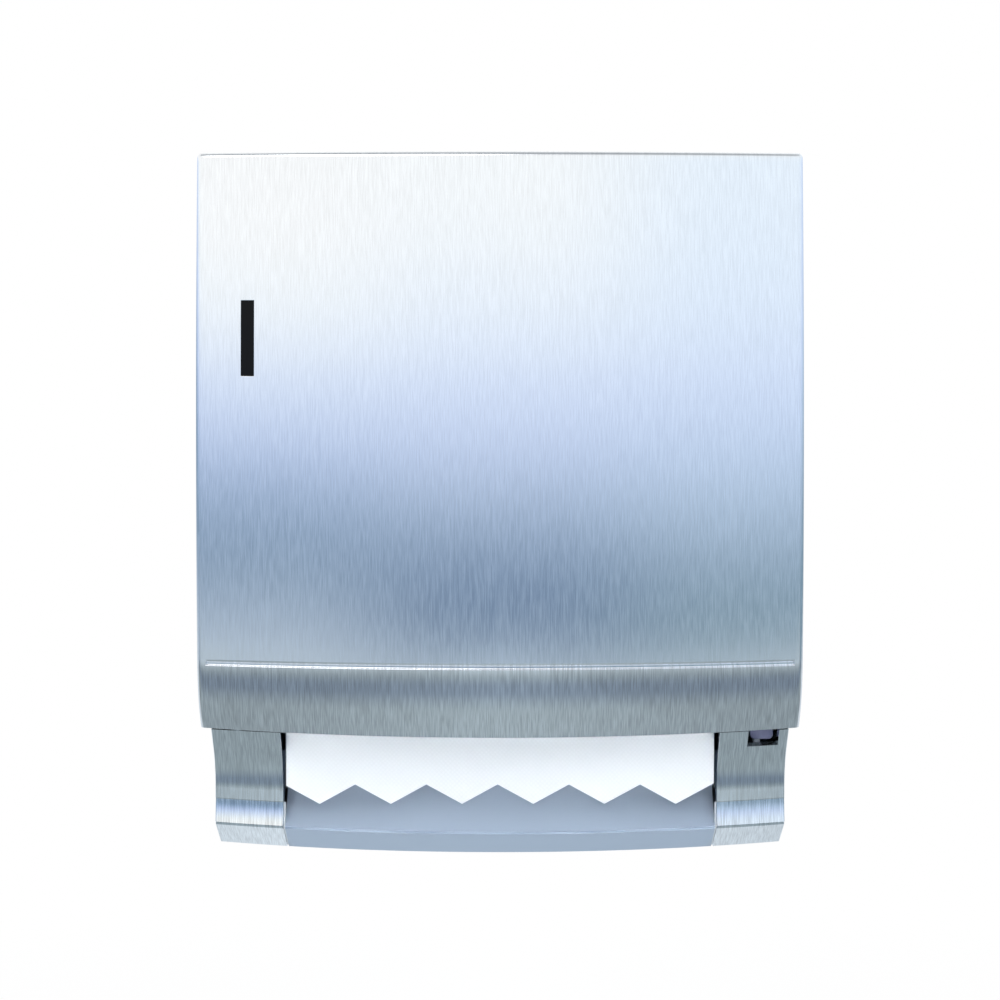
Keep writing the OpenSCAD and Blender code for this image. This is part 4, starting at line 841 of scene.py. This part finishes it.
bpy.ops.mesh.extrude_region_move(TRANSFORM_OT_translate={"value": (0.0, 0.0, FOOT_LOW - guide_low.z)})
pick("FACE", lambda m, c, f: m.y < guide_low.y + NEAR and m.z < guide_low.z)
bpy.ops.mesh.extrude_region_move(TRANSFORM_OT_translate={"value": (0.0, bolt_low.y - guide_low.y, 0.0)})
guide = finish_piece(guide, edge=GUIDE_EDGE)
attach(guide, "base")
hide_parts("lock_guide")

# %% [markdown]
# ## Surface effects
# A few effects are shared by many materials, so each is a node group, built from three steps: a new group
# with its sockets, a noise over the piece's own coordinates, and a map from one range to another.

# %% Helpers for shader groups


def new_group(name, inputs, outputs):
    group = bpy.data.node_groups.new(name, "ShaderNodeTree")
    for key, start in inputs.items():
        socket = group.interface.new_socket(name=key, in_out="INPUT", socket_type="NodeSocketFloat")
        socket.default_value = start
    for key, kind in outputs.items():
        group.interface.new_socket(name=key, in_out="OUTPUT", socket_type=kind)
    return group, group.nodes.new("NodeGroupInput"), group.nodes.new("NodeGroupOutput")


def scaled_noise(tree, scale, size, detail):
    """Noise over the object's own coordinates, stretched by a scale on each axis."""
    place = add_node(tree, "ShaderNodeTexCoord")
    stretch = add_node(tree, "ShaderNodeMapping")
    stretch.inputs["Scale"].default_value = scale
    noise = add_node(tree, "ShaderNodeTexNoise")
    noise.inputs["Scale"].default_value = size
    noise.inputs["Detail"].default_value = detail
    link(tree, place.outputs["Object"], stretch.inputs["Vector"])
    link(tree, stretch.outputs["Vector"], noise.inputs["Vector"])
    return noise.outputs["Fac"]


def to_range(tree, value, low, high, first=0.0, last=1.0):
    """Maps a value between first and last to a range; low and high are numbers or sockets."""
    made = add_node(tree, "ShaderNodeMapRange")
    made.inputs["From Min"].default_value = first
    made.inputs["From Max"].default_value = last
    link(tree, value, made.inputs["Value"])
    for key, limit in (("To Min", low), ("To Max", high)):
        if isinstance(limit, (int, float)):
            made.inputs[key].default_value = limit
        else:
            link(tree, limit, made.inputs[key])
    return made.outputs["Result"]


print("helpers: new_group, scaled_noise, to_range")

# %% [markdown]
# Steel is brushed with belts that leave long upright hairlines, so its noise is stretched along z, and on
# faces that look sideways the fine direction is y. Moulded plastic and rubber have a soft even grain. The
# paper has a diagonal emboss of small dots. The two grains vary roughness, tone and height, the emboss only
# tone and height.

# %% Make the shader groups
BRUSH_SIZE, PATCH_SIZE, PORE_SIZE = 2000.0, 30.0, 900.0
GRAIN_OUT = {"Roughness": "NodeSocketFloat", "Height": "NodeSocketFloat", "Tone": "NodeSocketFloat"}
GRAIN_IN = {"Smooth": 0.3, "Rough": 0.5, "Contrast": 0.1}


def grain_outputs(tree, given, result, pattern, height):
    """Sets a grain group's outputs from a pattern for roughness and tone and one for the height."""
    darkest = add_node(tree, "ShaderNodeMath", operation="SUBTRACT")
    darkest.inputs[0].default_value = 1.0
    link(tree, given.outputs["Contrast"], darkest.inputs[1])
    roughness = to_range(tree, pattern, given.outputs["Smooth"], given.outputs["Rough"])
    link(tree, roughness, result.inputs["Roughness"])
    link(tree, to_range(tree, pattern, darkest.outputs["Value"], 1.0), result.inputs["Tone"])
    link(tree, height, result.inputs["Height"])


brushed, given, result = new_group("brushed_grain", GRAIN_IN, GRAIN_OUT)
sideways = add_node(brushed, "ShaderNodeAttribute", attribute_name="sideways").outputs["Fac"]
across = to_range(brushed, sideways, scaled_noise(brushed, (1.0, 0.05, 0.05), BRUSH_SIZE, 1.0),
                  scaled_noise(brushed, (0.05, 1.0, 0.05), BRUSH_SIZE, 1.0))
fine = to_range(brushed, across, 0.0, 1.0, 0.3, 0.7)
grain_outputs(brushed, given, result, fine, fine)

moulded, given, result = new_group("moulded_grain", GRAIN_IN, GRAIN_OUT)
patches = scaled_noise(moulded, (1.0, 1.0, 1.0), PATCH_SIZE, 3.0)
grain_outputs(moulded, given, result, patches, scaled_noise(moulded, (1.0, 1.0, 1.0), PORE_SIZE, 2.0))

emboss, given, result = new_group("dotted_emboss", {"Pitch": 620.0},
                                  {"Height": "NodeSocketFloat", "Tone": "NodeSocketFloat"})
place = add_node(emboss, "ShaderNodeTexCoord")
turn = add_node(emboss, "ShaderNodeMapping")
turn.inputs["Rotation"].default_value = (0.0, math.radians(45.0), 0.0)
dots = add_node(emboss, "ShaderNodeTexVoronoi")
dots.inputs["Randomness"].default_value = 0.12
link(emboss, place.outputs["Object"], turn.inputs["Vector"])
link(emboss, turn.outputs["Vector"], dots.inputs["Vector"])
link(emboss, given.outputs["Pitch"], dots.inputs["Scale"])
link(emboss, to_range(emboss, dots.outputs["Distance"], 1.0, 0.0), result.inputs["Height"])
link(emboss, to_range(emboss, dots.outputs["Distance"], 1.0, 0.93), result.inputs["Tone"])
print("groups:", [g.name for g in bpy.data.node_groups if g.type == "SHADER"])

# %% [markdown]
# ## Materials
# Each finish is one Principled shader. The metals take the brushed group, the plastics and the rubber take
# the moulded one. The group's tone darkens the colour a little, and its height makes a faint relief.

# %% Helper to make a finish
GRAIN_DEPTH = 0.02 * MM


def make_finish(name, colour, group, metal=0.0, smooth=0.4, rough=0.55, bump=0.15, contrast=0.04):
    """A material with its roughness and bump from a shared group."""
    made = bpy.data.materials.new(name)
    made.use_nodes = True
    tree = made.node_tree
    shader = tree.nodes["Principled BSDF"]
    shader.inputs["Metallic"].default_value = metal
    tint = add_node(tree, "ShaderNodeMix", data_type="RGBA", blend_type="MULTIPLY")
    tint.inputs["Factor"].default_value = 1.0
    tint.inputs["A"].default_value = (*colour, 1.0)
    grain = add_node(tree, "ShaderNodeGroup")
    grain.node_tree = group
    grain.inputs["Smooth"].default_value = smooth
    grain.inputs["Rough"].default_value = rough
    grain.inputs["Contrast"].default_value = contrast
    relief = add_node(tree, "ShaderNodeBump")
    relief.inputs["Strength"].default_value = bump
    relief.inputs["Distance"].default_value = GRAIN_DEPTH
    link(tree, grain.outputs["Roughness"], shader.inputs["Roughness"])
    link(tree, grain.outputs["Tone"], tint.inputs["B"])
    link(tree, tint.outputs["Result"], shader.inputs["Base Color"])
    link(tree, grain.outputs["Height"], relief.inputs["Height"])
    link(tree, relief.outputs["Normal"], shader.inputs["Normal"])
    return made


print("helper: make_finish")

# %% [markdown]
# There is one finish for each material slot of the record. The outer steel and the scoop are matched to
# a photograph of such a unit, and what lies inside has the usual colours: pale gears, black rubber, brass.

# %% Build one material for each slot
finishes = {
    "cover_steel": make_finish("cover_steel", (0.96, 0.97, 0.98), brushed, 1.0, 0.14, 0.18, 0.01),
    "leg_steel": make_finish("leg_steel", (0.96, 0.99, 1.0), brushed, 1.0, 0.1, 0.16, 0.01, 0.3),
    "scoop_plastic": make_finish("scoop_plastic", (0.42, 0.50, 0.61), moulded, 0.0, 0.3, 0.4),
    "plate_steel": make_finish("plate_steel", (0.47, 0.50, 0.54), moulded, 0.0, 0.38, 0.5),
    "pan_plastic": make_finish("pan_plastic", (0.22, 0.26, 0.31), moulded),
    "dark_plastic": make_finish("dark_plastic", (0.03, 0.033, 0.04), moulded),
    "white_plastic": make_finish("white_plastic", (0.72, 0.75, 0.78), moulded, 0.0, 0.25, 0.35),
    "gear_plastic": make_finish("gear_plastic", (0.72, 0.68, 0.56), moulded, 0.0, 0.35, 0.45),
    "shaft_steel": make_finish("shaft_steel", (0.6, 0.63, 0.66), brushed, 1.0, 0.2, 0.3),
    "blade_steel": make_finish("blade_steel", (0.86, 0.89, 0.93), brushed, 1.0, 0.3, 0.4),
    "bracket_steel": make_finish("bracket_steel", (0.5, 0.53, 0.57), brushed, 1.0, 0.32, 0.45),
    "spring_steel": make_finish("spring_steel", (0.5, 0.5, 0.52), brushed, 1.0, 0.2, 0.3),
    "brass": make_finish("brass", (0.72, 0.5, 0.2), brushed, 1.0, 0.25, 0.35),
    "roller_rubber": make_finish("roller_rubber", (0.02, 0.02, 0.022), moulded, 0.0, 0.7, 0.85),
    "motor_can": make_finish("motor_can", (0.3, 0.31, 0.33), brushed, 1.0, 0.35, 0.45),
    "cell_wrap": make_finish("cell_wrap", (0.03, 0.05, 0.09), moulded, 0.0, 0.25, 0.35),
    "board": make_finish("board", (0.01, 0.09, 0.035), moulded, 0.0, 0.3, 0.4),
    "button_blue": make_finish("button_blue", (0.04, 0.2, 0.5), moulded, 0.0, 0.3, 0.4),
    "lens": make_finish("lens", (0.008, 0.008, 0.009), moulded, 0.0, 0.12, 0.2, 0.0),
    "sensor_lens": make_finish("sensor_lens", (0.03, 0.004, 0.006), moulded, 0.0, 0.1, 0.16, 0.0),
    "bolt_grey": make_finish("bolt_grey", (0.17, 0.18, 0.30), moulded, 0.0, 0.25, 0.35),
    "card": make_finish("card", (0.45, 0.3, 0.17), moulded, 0.0, 0.75, 0.9),
}
print(len(finishes), "finishes")

# %% [markdown]
# The smoked lens lies deep in its slot and hardly mirrors the room. On the cover the hairlines are plain on
# the rolled band and faint on the panel above it, so the contrast of its grain follows the height.

# %% Set the lens and the cover's hairlines apart
BAND_CONTRAST, PANEL_CONTRAST = 0.32, 0.11
finishes["lens"].node_tree.nodes["Principled BSDF"].inputs["Specular IOR Level"].default_value = 0.1
tree = finishes["cover_steel"].node_tree
hairlines = next(n for n in tree.nodes if n.type == "GROUP")
coords = add_node(tree, "ShaderNodeTexCoord")
split = add_node(tree, "ShaderNodeSeparateXYZ")
link(tree, coords.outputs["Object"], split.inputs["Vector"])
sideways = add_node(tree, "ShaderNodeAttribute", attribute_name="sideways").outputs["Fac"]
in_band = to_range(tree, split.outputs["Z"], BAND_CONTRAST, PANEL_CONTRAST, seam_z - 2.0 * MM, seam_z)
link(tree, to_range(tree, sideways, in_band, PANEL_CONTRAST), hairlines.inputs["Contrast"])
print("cover grain from", PANEL_CONTRAST, "to", BAND_CONTRAST)

# %% [markdown]
# Towel paper is matt and nearly white. Its emboss is only a tenth of a millimetre or so deep, so bump is
# enough for it.

# %% Build the paper
paper = bpy.data.materials.new("paper")
paper.use_nodes = True
tree = paper.node_tree
shader = tree.nodes["Principled BSDF"]
shader.inputs["Roughness"].default_value = 0.9
pattern = add_node(tree, "ShaderNodeGroup")
pattern.node_tree = emboss
tint = add_node(tree, "ShaderNodeMix", data_type="RGBA", blend_type="MULTIPLY")
tint.inputs["Factor"].default_value = 1.0
tint.inputs["A"].default_value = (0.93, 0.93, 0.93, 1.0)
relief = add_node(tree, "ShaderNodeBump")
relief.inputs["Strength"].default_value = 0.35
relief.inputs["Distance"].default_value = 0.2 * MM
link(tree, pattern.outputs["Tone"], tint.inputs["B"])
link(tree, tint.outputs["Result"], shader.inputs["Base Color"])
link(tree, pattern.outputs["Height"], relief.inputs["Height"])
link(tree, relief.outputs["Normal"], shader.inputs["Normal"])
finishes["paper"] = paper
print("paper has", len(tree.nodes), "nodes")

# %% [markdown]
# ## Dressing
# Every modelled piece gets its finish by name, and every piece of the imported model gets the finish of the
# slot that the record gives it, so nothing keeps a plain colour.

# %% Dress the pieces
modelled = {cover: "cover_steel", scoop: "scoop_plastic", tail: "paper", web: "paper", roll: "paper",
            bolt: "bolt_grey", guide: "white_plastic"}
for name in ("leg_left", "leg_right"):
    modelled[bpy.data.objects[name]] = "leg_steel"
# the painted highlight strips take the white plastic finish
for strip in painted_highlights:
    modelled[strip] = "white_plastic"
for row in frame["record"]["subparts"]:
    modelled[nodes[row["node"]]] = row["material_slot"]
for piece, slot in modelled.items():
    piece.data.materials.clear()
    piece.data.materials.append(finishes[slot])
print("dressed", len(modelled), "pieces")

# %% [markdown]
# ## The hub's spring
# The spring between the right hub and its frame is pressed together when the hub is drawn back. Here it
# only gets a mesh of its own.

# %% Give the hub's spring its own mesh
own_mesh(nodes["hub_spring"])
